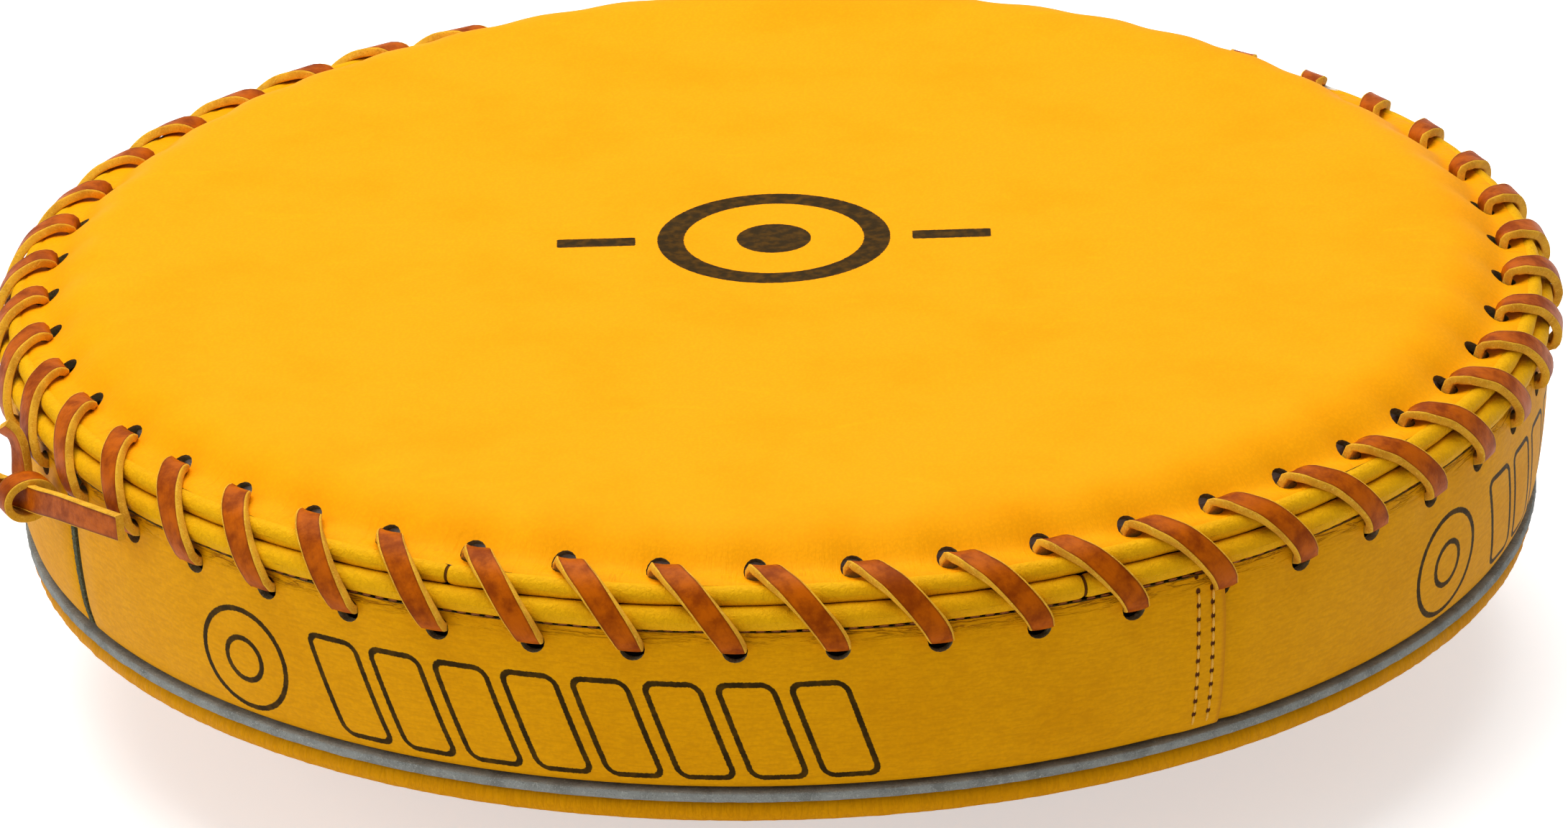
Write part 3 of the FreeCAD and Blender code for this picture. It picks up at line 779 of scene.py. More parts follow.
        # Painted shade: the creases under the band roll are darkened.
        colour = graph.blend(graph.span(crease_shade_lines, 0.40, 0.85, 0.0, 0.75), colour, self.grain_and_crease_shade)
        dent = graph.math("MULTIPLY", pull.outputs["Height"], graph.math("MULTIPLY", top, 0.30))
        height = graph.math("ADD", height, dent)
        colour, height = self._band_marks(graph, coords, along, up, colour, height)
        for row in (3.6 * MM, 7.6 * MM):
            holes = place_group(graph, "needle_holes", X=graph.math("SUBTRACT", along, row), Y=up,
                                Pitch=LAYOUT.stitch_pitch * MM)
            mask = graph.math("MULTIPLY", holes.outputs[0], graph.span(up, 13.0 * MM, 13.4 * MM))
            # Painted shade: the needle holes are painted dark.
            colour = graph.blend(mask, colour, (0.085, 0.020, 0.006))
            height = graph.math("SUBTRACT", height, graph.math("MULTIPLY", mask, 0.5))
        painted = graph.span(along, 1.5 * MM, 0.2 * MM, 0.0, 0.55)
        colour = graph.blend(painted, colour, (0.52, 0.17, 0.01))
        return colour, height, rough

    def _band_marks(self, graph: Graph, coords: bpy.types.Node, along: Socket, up: Socket, colour: Socket,
                    height: Socket) -> tuple[Socket, Socket]:
        """Outlined printed marks along the band: a ring, then a row of leaning bars."""
        start, end = self.marks
        if end <= start:
            return colour, height
        line, middle = 0.72 * MM, 25.0 * MM
        y = graph.math("SUBTRACT", up, middle)
        ring_x = graph.math("SUBTRACT", along, (end - 15.0) * MM)
        squares = [graph.math("POWER", value, 2.0) for value in (ring_x, y)]
        far = graph.math("SQRT", graph.math("ADD", *squares))
        outlines = [graph.math("SUBTRACT", graph.math("ABSOLUTE", graph.math("SUBTRACT", far, r * MM)), line)
                    for r in (13.0, 5.5)]
        pitch = 17.0 * MM
        bars_end = (end - 38.0) * MM
        lean = graph.math("SUBTRACT", along, graph.math("MULTIPLY", y, 0.32))
        inside = graph.math("SUBTRACT", bars_end, lean)
        count = max(1, int((bars_end - start * MM) / pitch))
        wrapped = graph.math("WRAP", inside, pitch, 0.0)
        bar_x = graph.math("SUBTRACT", wrapped, pitch / 2)
        box = place_group(graph, "box_mark", X=bar_x, Y=y, Half_width=6.4 * MM, Half_height=12.5 * MM,
                          Corner=2.6 * MM)
        outline = graph.math("SUBTRACT", graph.math("ABSOLUTE", box.outputs[0]), line)
        outside = graph.math("MAXIMUM", graph.math("MULTIPLY", inside, -1.0),
                             graph.math("SUBTRACT", inside, count * pitch))
        outlines.append(graph.math("MAXIMUM", outline, outside))
        nearest = outlines[0]
        for other in outlines[1:]:
            nearest = graph.math("MINIMUM", nearest, other)
        return self._print(graph, coords, colour, height, nearest)

    def _roll(self, graph: Graph, coords: bpy.types.Node, colour: Socket, height: Socket,
              rough: Socket) -> Layers:
        """Small wrinkles round the roll with painted shade in them, and the dark line of its butt joint."""
        flow = graph.add("Attribute", attribute_name="flow").outputs["Vector"]
        wrinkles = place_group(graph, "creases", Vector=coords.outputs["Object"], Scale=520.0, Sharpness=5.0)
        soft = graph.noise(flow, 2.6, detail=3.0)
        # Painted shade: the wrinkle lines of the roll are darkened a little.
        colour = graph.blend(graph.span(wrinkles.outputs["Lines"], 0.80, 1.0, 0.0, 0.12), colour, self.grain_and_crease_shade)
        height = graph.math("ADD", height, graph.math("MULTIPLY", wrinkles.outputs["Height"], 0.13))
        height = graph.math("ADD", height, graph.math("MULTIPLY", soft, 0.30))
        if self.joint is None:
            return colour, height, rough
        place = coords.outputs["Object"]
        across = graph.add("VectorMath", {0: place, 1: (-math.sin(self.joint), math.cos(self.joint), 0.0)},
                           operation="DOT_PRODUCT").outputs["Value"]
        toward = graph.add("VectorMath", {0: place, 1: (math.cos(self.joint), math.sin(self.joint), 0.0)},
                           operation="DOT_PRODUCT").outputs["Value"]
        gap = graph.math("MULTIPLY", graph.span(graph.math("ABSOLUTE", across), 0.45 * MM, 0.20 * MM),
                         graph.math("GREATER_THAN", toward, 0.0))
        colour = graph.blend(gap, colour, (0.10, 0.03, 0.005))
        height = graph.math("SUBTRACT", height, gap)
        return colour, height, rough

    def _fold(self, graph: Graph, coords: bpy.types.Node, colour: Socket, height: Socket,
              rough: Socket) -> Layers:
        """Gathers on the back panel's folded edge, with painted shade in them."""
        flow = graph.add("Attribute", attribute_name="flow").outputs["Vector"]
        gathers = place_group(graph, "creases", Vector=flow, Scale=430.0, Sharpness=5.0)
        split = graph.add("SeparateXYZ", {0: graph.add("UVMap", uv_map="UVMap").outputs[0]})
        edge = graph.span(split.outputs[1], 0.165, 0.178)
        # Painted shade: the gathers on the fold are darkened.
        colour = graph.blend(graph.math("MULTIPLY", graph.span(gathers.outputs["Lines"], 0.7, 1.0, 0.0, 0.18), edge),
                             colour, self.grain_and_crease_shade)
        dent = graph.math("MULTIPLY", gathers.outputs["Height"], graph.math("MULTIPLY", edge, 0.15))
        return colour, graph.math("ADD", height, dent), rough


@dataclass(frozen=True)
class LaceGrain:
    """The oiled, burnished side of a cut leather lace or strap."""

    name: str
    colour: RGB = (0.50, 0.100, 0.0012)
    deep: RGB = (0.24, 0.036, 0.0010)
    half_width: float = 3.17
    roughness: float = 0.36

    def material(self) -> bpy.types.Material:
        """Builds the material."""
        material, graph, shader = new_material(self.name)
        uv = graph.add("UVMap", uv_map="UVMap").outputs[0]
        place = graph.add("TexCoord").outputs["Object"]
        across = graph.math("ABSOLUTE", graph.add("SeparateXYZ", {0: uv}).outputs[1])
        burnish = graph.span(across, (self.half_width - 1.05) * MM, (self.half_width - 0.25) * MM)
        mottle = graph.noise(place, 6.5, detail=5.0, roughness=0.65)
        streaks = graph.noise(graph.stretched(uv, (0.2, 1.0, 1.0)), 0.8, detail=4.0)
        grain = place_group(graph, "leather_grain", Vector=place, Cell_scale=1500.0)
        scuffs = graph.span(graph.noise(graph.stretched(uv, (0.35, 1.0, 1.0)), 2.2, detail=6.0, roughness=0.7),
                            0.64, 0.76, 0.0, 0.22)
        colour = graph.blend(graph.span(mottle, 0.35, 0.68), self.colour, self.deep)
        colour = graph.blend(graph.span(streaks, 0.5, 0.75, 0.0, 0.25), colour, self.deep)
        colour = graph.blend(graph.math("MULTIPLY", burnish, 0.75), colour, tuple(0.55 * c for c in self.deep))
        colour = graph.blend(scuffs, colour, tuple(min(1.0, 1.4 * c + 0.004) for c in self.colour))
        height = graph.math("ADD", graph.math("MULTIPLY", grain.outputs["Height"], 0.035),
                            graph.math("MULTIPLY", streaks, 0.06))
        graph.feed(shader.inputs["Base Color"], colour)
        graph.feed(shader.inputs["Roughness"], graph.span(mottle, 0.3, 0.7, self.roughness, self.roughness + 0.14))
        shader.inputs["Specular IOR Level"].default_value = 0.13
        shader.inputs["Specular Tint"].default_value = (1.0, 0.50, 0.15, 1.0)
        set_bump(graph, shader, height, 1.0)
        return material


@dataclass(frozen=True)
class CutEdge:
    """A cut edge or a flesh side of leather, with its fibres."""

    name: str
    colour: RGB
    light: RGB
    dark: RGB
    fibre_size: float = 1.3
    depth: float = 0.25
    streak: float = 0.35

    def material(self) -> bpy.types.Material:
        """Builds the material."""
        material, graph, shader = new_material(self.name)
        uv = graph.add("UVMap", uv_map="UVMap").outputs[0]
        place = graph.add("TexCoord").outputs["Object"]
        fibres = place_group(graph, "fibres", Vector=place, Scale=1.0 / (self.fibre_size * MM))
        run = graph.noise(graph.stretched(uv, (self.streak, 1.0, 1.0)), 1.1, detail=4.0, roughness=0.7)
        patches = graph.noise(place, 7.0, detail=4.0)
        colour = graph.blend(graph.span(patches, 0.40, 0.66, 0.0, 0.6), self.colour, self.dark)
        colour = graph.blend(graph.math("MULTIPLY", fibres.outputs["Light"], 0.7), colour, self.light)
        colour = graph.blend(graph.math("MULTIPLY", fibres.outputs["Pits"], 0.65), colour, self.dark)
        colour = graph.blend(graph.span(run, 0.56, 0.74, 0.0, 0.4), colour, self.dark)
        height = graph.math("ADD", fibres.outputs["Height"], graph.math("MULTIPLY", run, 0.5))
        graph.feed(shader.inputs["Base Color"], colour)
        shader.inputs["Roughness"].default_value = 0.85
        shader.inputs["Specular IOR Level"].default_value = 0.25
        set_bump(graph, shader, height, self.depth)
        return material


@dataclass(frozen=True)
class Thread:
    """Waxed, twisted sewing thread or cord."""

    name: str
    colour: RGB
    twist_size: float = 0.35
    roughness: float = 0.5

    def material(self) -> bpy.types.Material:
        """Builds the material."""
        material, graph, shader = new_material(self.name)
        place = graph.add("TexCoord").outputs["Object"]
        strands = graph.noise(place, self.twist_size, detail=2.0)
        tone = graph.noise(place, 14.0)
        colour = graph.blend(graph.span(tone, 0.35, 0.65, 0.0, 0.4), self.colour, tuple(0.7 * c for c in self.colour))
        colour = graph.blend(graph.span(strands, 0.55, 0.30, 0.0, 0.5), colour, tuple(0.45 * c for c in self.colour))
        graph.feed(shader.inputs["Base Color"], colour)
        shader.inputs["Roughness"].default_value = self.roughness
        set_bump(graph, shader, strands, 0.12)
        return material


@dataclass(frozen=True)
class Filling:
    """Foam, felt or board inside the pad."""

    name: str
    colour: RGB
    cell_size: float
    depth: float
    roughness: float = 0.9

    def material(self) -> bpy.types.Material:
        """Builds the material."""
        material, graph, shader = new_material(self.name)
        place = graph.add("TexCoord").outputs["Object"]
        fibres = place_group(graph, "fibres", Vector=place, Scale=1.0 / (self.cell_size * MM))
        tone = graph.noise(place, 30.0)
        colour = graph.blend(graph.span(tone, 0.3, 0.7, 0.0, 0.5), self.colour, tuple(0.78 * c for c in self.colour))
        colour = graph.blend(graph.math("MULTIPLY", fibres.outputs["Pits"], 0.6), colour,
                             tuple(0.5 * c for c in self.colour))
        graph.feed(shader.inputs["Base Color"], colour)
        shader.inputs["Roughness"].default_value = self.roughness
        set_bump(graph, shader, fibres.outputs["Height"], self.depth)
        return material


@dataclass(frozen=True)
class Brass:
    """Handled brass: bright on the dome, dull and brown in patches."""

    name: str
    colour: RGB = (0.80, 0.55, 0.22)
    tarnish: RGB = (0.30, 0.17, 0.06)

    def material(self) -> bpy.types.Material:
        """Builds the material."""
        material, graph, shader = new_material(self.name)
        place = graph.add("TexCoord").outputs["Object"]
        patches = graph.noise(place, 3.0, detail=5.0, roughness=0.7)
        scratches = graph.noise(graph.stretched(place, (1.0, 0.1, 1.0)), 0.35, detail=3.0)
        worn = graph.span(patches, 0.42, 0.70)
        colour = graph.blend(graph.math("MULTIPLY", worn, 0.7), self.colour, self.tarnish)
        graph.feed(shader.inputs["Base Color"], colour)
        graph.feed(shader.inputs["Roughness"], graph.span(patches, 0.35, 0.70, 0.24, 0.52))
        shader.inputs["Metallic"].default_value = 1.0
        set_bump(graph, shader, scratches, 0.02)
        return material


@dataclass
class Finishes:
    """Every finish of the pad, built once."""

    def __post_init__(self) -> None:
        """Builds the materials."""
        self.face = Leather("face_leather", grain_size=0.8, grain_depth=0.035, marking=Marking.FACE).material()
        self.roll = {
            name: Leather(f"{name}_leather", colour=(0.82, 0.42, 0.004), cloud=(0.78, 0.37, 0.003), grain_size=1.1,
                          grain_depth=0.10, marking=Marking.ROLL, joint=joint).material()
            for name, joint in (("face_roll", math.radians(245.0)), ("band_roll", math.radians(292.0)))}
        self.fold = Leather("back_leather", colour=(0.74, 0.315, 0.0010), cloud=(0.70, 0.290, 0.0008),
                            grain_size=1.0, grain_depth=0.06, marking=Marking.FOLD).material()
        self.strap = Leather("strap_leather", colour=(0.80, 0.34, 0.010), cloud=(0.66, 0.25, 0.008),
                             grain_size=1.2, grain_depth=0.07).material()
        self.lining = Leather("lining_leather", colour=(0.66, 0.42, 0.19), cloud=(0.58, 0.35, 0.15),
                              grain_and_crease_shade=(0.25, 0.14, 0.06), roughness=0.62, grain_size=1.5, grain_depth=0.09).material()
        self.core = CutEdge("leather_core", (0.36, 0.36, 0.20), (0.66, 0.67, 0.50), (0.11, 0.105, 0.045),
                            fibre_size=1.0, depth=0.5).material()
        self.lace = LaceGrain("lace_grain").material()
        self.lace_edge = CutEdge("lace_cut_edge", (0.82, 0.425, 0.018), (0.95, 0.58, 0.07), (0.50, 0.200, 0.006),
                                 fibre_size=0.9, depth=0.22).material()
        self.lace_flesh = CutEdge("lace_flesh_side", (0.55, 0.265, 0.030), (0.74, 0.45, 0.10), (0.30, 0.12, 0.012),
                                  fibre_size=1.6, depth=0.3).material()
        self.strap_edge = CutEdge("strap_cut_edge", (0.36, 0.140, 0.020), (0.52, 0.26, 0.07), (0.16, 0.05, 0.01),
                                  fibre_size=1.2, depth=0.15).material()
        self.welt = CutEdge("base_welt_edge", (0.33, 0.345, 0.325), (0.56, 0.57, 0.53), (0.16, 0.165, 0.145),
                            fibre_size=0.75, depth=0.35, streak=0.2).material()
        # The closing welt is the same grey core leather as the base welt, painted much darker: painted shade for the
        # seam.
        self.closing_welt = CutEdge("closing_welt_shaded_edge", (0.085, 0.090, 0.045), (0.30, 0.31, 0.20),
                                    (0.030, 0.028, 0.010), fibre_size=0.9, depth=0.4).material()
        self.yellow_thread = Thread("yellow_thread", (0.90, 0.46, 0.03)).material()
        self.brown_thread = Thread("brown_thread", (0.42, 0.13, 0.02)).material()
        self.cord = Thread("cotton_cord", (0.72, 0.68, 0.58), twist_size=0.8, roughness=0.9).material()
        self.felt = Filling("wool_felt", (0.48, 0.46, 0.42), 0.7, 0.3).material()
        self.firm_foam = Filling("firm_foam", (0.055, 0.055, 0.060), 0.6, 0.15).material()
        self.soft_foam = Filling("soft_foam", (0.68, 0.62, 0.44), 1.0, 0.3).material()
        self.board = Filling("board", (0.045, 0.045, 0.050), 2.0, 0.03, roughness=0.55).material()
        self.brass = Brass("rivet_brass").material()


# ------------------------------------------------------------------------------------------------
# Face
# ------------------------------------------------------------------------------------------------
@dataclass
class Face:
    """The crowned face leather, with its ring of lace holes."""

    layout: Layout = LAYOUT
    crown: tuple[tuple[float, float], ...] = (
        (0.0, 70.5), (50.0, 70.6), (100.0, 70.7), (135.0, 70.8), (152.0, 70.6), (163.0, 69.9), (169.5, 67.3),
        (176.0, 62.2), (179.0, 61.5), (181.2, 61.3), (182.6, 60.7))
    columns_per_hole: int = 16
    fine_spacing: float = 1.4
    inner_rings: tuple[float, ...] = (0, 12, 30, 50, 70, 90, 108, 122, 134, 143, 150, 155)
    last_ring: float = 182.5
    valley: float = 0.95
    tab: float = 0.35
    shoulder: float = 1.3
    shoulder_drop: float = 3.2

    def __post_init__(self) -> None:
        """Works out the rings of the grid, with one ring on the hole circle."""
        self.outline = Outline(self.crown)
        fine_from = self.layout.hole_circle - 12 * self.fine_spacing
        self.rings = list(self.inner_rings) + [fine_from + self.fine_spacing * k for k in range(17)]
        self.rings.append(self.last_ring)
        self.columns = self.layout.lace_count * self.columns_per_hole

    def surface(self, radius: float, angle: float) -> Vector:
        """Point of the outer surface, pulled down at each lace and raised between two."""
        number, off = self.layout.nearest_hole(angle)
        arc = off * radius
        strength = 1.0 + 0.35 * waver(1.0, number * 0.73)
        edge = rise(radius, 160.0, 175.0) * (1.0 - 0.9 * rise(radius, 179.0, 182.4))
        near = bump(arc - 0.6, 6.0)
        height = self.outline.height(radius)
        height += edge * (self.tab * (1.0 - near) - self.valley * strength * near)
        height -= 0.5 * bump(math.hypot(arc, radius - self.layout.hole_circle), 4.2)
        fan = rise(radius, 166.0, 178.0)
        height += 0.10 * fan * waver(2.0, angle * 58.0, radius / 16.0)
        height += 0.22 * waver(3.0, radius * math.cos(angle) / 46.0, radius * math.sin(angle) / 46.0)
        slack = rise(radius, 100.0, 160.0) * (1.0 - edge)
        height += 0.25 * slack * waver(4.0, angle * 9.0, radius / 30.0)
        stand = self.shoulder * rise(radius, 138.0, 160.0) - self.shoulder_drop * rise(radius, 167.0, 178.0)
        height += self.layout.far_side(angle) * stand
        return polar(radius, angle, height)

    def build(self, finishes: Finishes) -> bpy.types.Object:
        """Builds the leather.

        Args:
            finishes: The pad's finishes.

        Returns:
            The face.
        """
        layout = self.layout
        start = layout.first_hole - layout.step / 2
        rows = len(self.rings) - 1

        def ring(v: float) -> float:
            return self.rings[round(v * rows)]

        def flow(u: float, v: float) -> Vector:
            return polar(layout.hole_circle, start + u * TURN, ring(v) * 0.16) * MM

        sheet = lay_sheet(
            self.columns, rows, lambda u, v: self.surface(ring(v), start + u * TURN),
            uv=lambda u, v: Vector((u * TURN * layout.hole_circle, ring(v), 0.0)) * MM, flow=flow,
            weight=lambda u, v: 1.0 - rise(ring(v), 179.0, 181.5))
        row = self.rings.index(min(self.rings, key=lambda r: abs(r - layout.hole_circle)))
        for hole in range(layout.lace_count):
            angle = layout.first_hole + hole * layout.step
            squash = 1.0 + 0.10 * waver(5.0, hole * 1.37)

            def rim(turn: float, angle: float = angle, squash: float = squash) -> Vector:
                radius = layout.hole_circle + layout.hole_radius * math.sin(turn)
                return self.surface(radius, angle + layout.hole_radius * squash * math.cos(turn) / radius)

            column = hole * self.columns_per_hole + self.columns_per_hole // 2
            punch_hole(sheet, column, row, rim)
        piece = make_piece("face_leather", sheet.bm, [finishes.face, finishes.core],
                           ["face_panel"], inside=Vector((0, 0, 0)))
        thicken(piece, layout.leather, pared=0.25)
        return piece


# ------------------------------------------------------------------------------------------------
# Rolled bindings
# ------------------------------------------------------------------------------------------------
@dataclass
class Roll:
    """A rolled binding round the pad's edge, pressed a little where each lace crosses it."""

    name: str
    slot: str
    centre: tuple[float, float]
    thickness: float
    crossing: float
    joint: float
    layout: Layout = LAYOUT
    columns_per_turn: int = 22
    rows: int = 20
    press: float = 0.30

    def section(self, angle: float, turn: float) -> Vector:
        """Point of the roll's surface.

        Args:
            angle: Where round the pad.
            turn: Where round the roll, 0 outward and a quarter turn up.

        Returns:
            The point.
        """
        _, off = self.layout.nearest_hole(angle, self.crossing)
        pinch = bump(off * self.centre[0], 4.6)
        side, rise_error = self.layout.wander(angle)
        radius = self.thickness / 2 + 0.09 * waver(6.0, angle * 26.0, self.centre[1])
        radius -= self.press * pinch * (0.5 + 0.5 * math.cos(turn - 0.6))
        radius -= 0.5 * bump((angle - self.joint) * self.centre[0], 0.8)
        radius += 0.06 * waver(7.0, angle * 74.0, turn * 0.7, self.centre[1])
        r = self.centre[0] + side + radius * math.cos(turn)
        z = self.centre[1] + rise_error + radius * math.sin(turn) - self.layout.far_dip * self.layout.far_side(angle)
        return polar(r, angle, z)

    def build(self, finishes: Finishes) -> bpy.types.Object:
        """Builds the roll.

        Args:
            finishes: The pad's finishes.

        Returns:
            The roll.
        """
        start = self.joint - math.pi
        radius, height = self.centre

        def flow(u: float, v: float) -> Vector:
            middle = polar(radius, start + u * TURN, height)
            return (middle + (self.section(start + u * TURN, v * TURN) - middle) * 0.35) * MM

        sheet = lay_sheet(self.layout.lace_count * self.columns_per_turn, self.rows,
                          lambda u, v: self.section(start + u * TURN, v * TURN),
                          uv=lambda u, v: Vector((u * TURN * radius, v * math.pi * self.thickness, 0)) * MM,
                          flow=flow)
        return make_piece(self.name, sheet.bm, [finishes.roll[self.slot]], [self.slot])


# ------------------------------------------------------------------------------------------------
# Side band
# ------------------------------------------------------------------------------------------------
class BandEnd(Enum):
    """How a length of the band ends."""

    OVER = "laps over the next length, stitched"
    UNDER = "lies under the length before"
    WELT = "turns in along the closing welt"


@dataclass
class BandPanel:
    """One length of the side band, from its first angle to its last."""

    name: str
    first: float
    last: float
    first_end: BandEnd
    last_end: BandEnd
    marks: tuple[float, float] = (0.0, 0.0)
    layout: Layout = LAYOUT
    outline: tuple[tuple[float, float], ...] = (
        (186.1, 50.7), (186.9, 46.0), (186.7, 38.0), (185.9, 27.0), (184.4, 16.5), (182.7, 10.4))
    spacing: float = 1.4
    foot: float = 10.6
    welt_gap: float = 1.2
    turn_in: tuple[tuple[float, float], ...] = ((0.5, 9.75), (1.5, 9.35), (3.4, 9.3), (6.0, 9.3), (8.6, 9.3))

    def __post_init__(self) -> None:
        """Works out the grid's rows and columns."""
        self.profile = Outline(self.outline)
        up_rows = round((self.layout.side_hole_height - self.foot) / self.spacing)
        step = (self.layout.side_hole_height - self.foot) / up_rows
        heights = [self.foot + step * k for k in range(up_rows + 4)]
        turned = [(self.profile.radius(self.foot) - inset, z) for inset, z in self.turn_in]
        self.levels = list(reversed(turned)) + [(None, z) for z in heights]
        self.hole_row = len(turned) + up_rows
        begin, end = self.span
        self.columns = round((end - begin) * self.layout.band_roll[0] / self.spacing)

    @property
    def span(self) -> tuple[float, float]:
        """The angles that the grid covers, an under-lap included."""
        lap = self.layout.lap_width / self.layout.band_roll[0]
        return (self.first - (lap if self.first_end is BandEnd.UNDER else 0.0), self.last)

    def lift(self, angle: float) -> float:
        """How far the leather stands out or in near a lap."""
        arc = self.layout.band_roll[0]
        out = 0.55 * rise((angle - self.last) * arc, -16.0, -9.0) if self.last_end is BandEnd.OVER else 0.0
        back = 0.65 * (1.0 - rise((angle - self.first) * arc, 0.3, 7.0)) if self.first_end is BandEnd.UNDER else 0.0
        return out - back

    def surface(self, height: float, angle: float) -> Vector:
        """Point of the outer surface, a little pulled in at each lace hole and creased at the top."""
        layout = self.layout
        _, off = layout.nearest_hole(angle, layout.side_lead)
        radius = self.profile.radius(min(max(height, self.foot), 50.6))
        arc = off * radius
        radius -= 0.45 * bump(math.hypot(arc, height - layout.side_hole_height), 4.5)
        top = rise(height, 41.0, 49.0)
        radius += 0.16 * top * waver(8.0, angle * 40.0, height / 1.6)
        radius += 0.22 * waver(9.0, angle * 7.0, height / 30.0) + self.lift(angle)
        return polar(radius, angle, height)

    def place(self, u: float, v: float) -> Vector:
        """Point of the grid, with the ends at the closing seam turned in."""
        begin, end = self.span
        angle = begin + (end - begin) * u
        radius, height = self.levels[round(v * (len(self.levels) - 1))]
        point = self.surface(height, angle)
        if radius is not None:
            point = polar(radius + self.lift(angle), angle, height)
        for ends, edge, way in ((self.first_end, begin, 1), (self.last_end, end, -1)):
            if ends is BandEnd.WELT:
                point = self._tuck(point, angle, edge, way)
        return point

    def _tuck(self, point: Vector, angle: float, edge: float, way: int) -> Vector:
        """Rounds a point over the edge of the closing seam and down beside its welt."""
        room = 9.0
        arc = way * (angle - edge) * self.layout.band_roll[0]
        if arc > room:
            return point
        bend = 2.2
        radius = math.hypot(point.x, point.y)
        straight = room - bend * math.pi / 2
        if arc < straight:
            inward, aside = bend + (straight - arc), 0.0
        else:
            turn = (arc - straight) / bend
            inward, aside = bend * (1 - math.sin(turn)), bend * (1 - math.cos(turn))
        offset = self.welt_gap + aside
        return polar(radius - inward, edge + way * offset / radius, point.z)

    def uv(self, u: float, v: float) -> Vector:
        """Distance from the stitched end, and height."""
        begin, end = self.span
        arc = (end - (begin + (end - begin) * u)) * self.layout.band_roll[0]
        if self.last_end is not BandEnd.OVER:
            arc += 40.0
        return Vector((arc, self.levels[round(v * (len(self.levels) - 1))][1], 0.0)) * MM

    def build(self, finishes: Finishes) -> bpy.types.Object:
        """Builds the length of band.

        Args:
            finishes: The pad's finishes.

        Returns:
            The piece.
        """
        layout = self.layout
        rows = len(self.levels) - 1
        begin, end = self.span

        def weight(u: float, v: float) -> float:
            angle = begin + (end - begin) * u
            arcs = (angle - self.last) * layout.band_roll[0], (angle - self.first) * layout.band_roll[0]
            over = rise(arcs[0], -14.0, -10.0) if self.last_end is BandEnd.OVER else 0.0
            under = 1.0 - rise(arcs[1], 2.0, 7.0) if self.first_end is BandEnd.UNDER else 0.0
            return 1.0 - max(over, under)

        sheet = lay_sheet(self.columns, rows, self.place, uv=self.uv, weight=weight)
        for hole in range(-layout.lace_count, 2 * layout.lace_count):
            angle = layout.first_hole + (hole + layout.side_lead) * layout.step
            margin = 4.5 / layout.band_roll[0]
            if not begin + margin < angle < end - margin:
                continue

            def rim(turn: float, angle: float = angle) -> Vector:
                height = layout.side_hole_height + layout.hole_radius * math.sin(turn)
                return self.surface(height, angle + layout.hole_radius * math.cos(turn) / layout.band_roll[0])

            punch_hole(sheet, round((angle - begin) / (end - begin) * self.columns), self.hole_row, rim)
        # The band's yellow is painted darker than the face leather's: painted shade for the upright band, which the
        # overhead light reaches less.
        leather = Leather(f"{self.name}_leather", colour=(0.80, 0.355, 0.0010), cloud=(0.75, 0.320, 0.0008),
                          grain_size=1.0, grain_depth=0.05, marking=Marking.BAND, marks=self.marks).material()
        piece = make_piece(f"{self.name}_leather", sheet.bm, [leather, finishes.core],
                           [self.name], inside=Vector((0, 0, 30)))
        thicken(piece, layout.leather, pared=0.4)
        return piece


# ------------------------------------------------------------------------------------------------
# Welts and back panel
# ------------------------------------------------------------------------------------------------
@dataclass
class Welts:
    """The grey leather strips whose cut edges show in the base seam and the closing seam."""

    layout: Layout = LAYOUT
    base_outer: float = 183.5
    columns: int = 900
    closing_half: float = 1.05

    def _base_point(self, u: float, v: float) -> Vector:
        """Point of the base welt: a flat ring whose outer edge is rough."""
        layout = self.layout
        angle = u * TURN
        half = (layout.welt_high - layout.welt_low) / 2 - 0.02
        middle = (layout.welt_high + layout.welt_low) / 2
        top = half - 0.75
        rough = 0.16 * waver(11.0, angle * 230.0, v * 14.0) + 0.14 * waver(12.0, angle * 31.0)
        outer = self.base_outer + rough
        outline = [(layout.allowance, -half), (outer - 1.6, -half), (outer - 0.25, -half), (outer, -half + 0.3),
                   (outer + 0.05, -half / 2), (outer, 0.0), (outer + 0.03, top - 0.8), (outer, top - 0.3),
                   (outer - 0.25, top), (outer - 1.6, top), (layout.allowance, half), (layout.allowance, -half)]
        radius, height = outline[round(v * (len(outline) - 1))]
        return polar(radius, angle, middle + height)

    def _closing_point(self, u: float, v: float) -> Vector:
        """Point of the closing welt: an upright strip that follows the band."""
        layout = self.layout
        outline = Outline(BandPanel.outline)
        height = 10.4 + u * (49.0 - 10.4)
        half = self.closing_half + 0.10 * waver(13.0, u * 9.0)
        outer = outline.radius(height) + 0.15 + 0.22 * waver(14.0, u * 60.0, v * 7.0)
        section = [(-half, outer - 8.0), (-half, outer - 1.0), (-half, outer - 0.2), (-half * 0.5, outer),
                   (0.0, outer + 0.1), (half * 0.5, outer), (half, outer - 0.2), (half, outer - 1.0),
                   (half, outer - 8.0), (-half, outer - 8.0)]
        aside, radius = section[round(v * (len(section) - 1))]
        return polar(radius, layout.closing_seam + aside / radius, height)

    def build(self, finishes: Finishes) -> list[bpy.types.Object]:
        """Builds both welts.

        Args:
            finishes: The pad's finishes.

        Returns:
            The two pieces.
        """
        radius = self.layout.hole_circle
        base = lay_sheet(self.columns, 11, self._base_point,
                         uv=lambda u, v: Vector((u * TURN * radius, v * 20, 0)) * MM)
        closing = lay_sheet(90, 9, self._closing_point, uv=lambda u, v: Vector((u * 40.0, v * 20.0, 0)) * MM)
        close_ends(closing.bm, 0)
        return [make_piece("base_welt_strip", base.bm, [finishes.welt], ["base_welt"]),
                make_piece("closing_welt_strip", closing.bm, [finishes.closing_welt],
                           ["closing_welt"])]


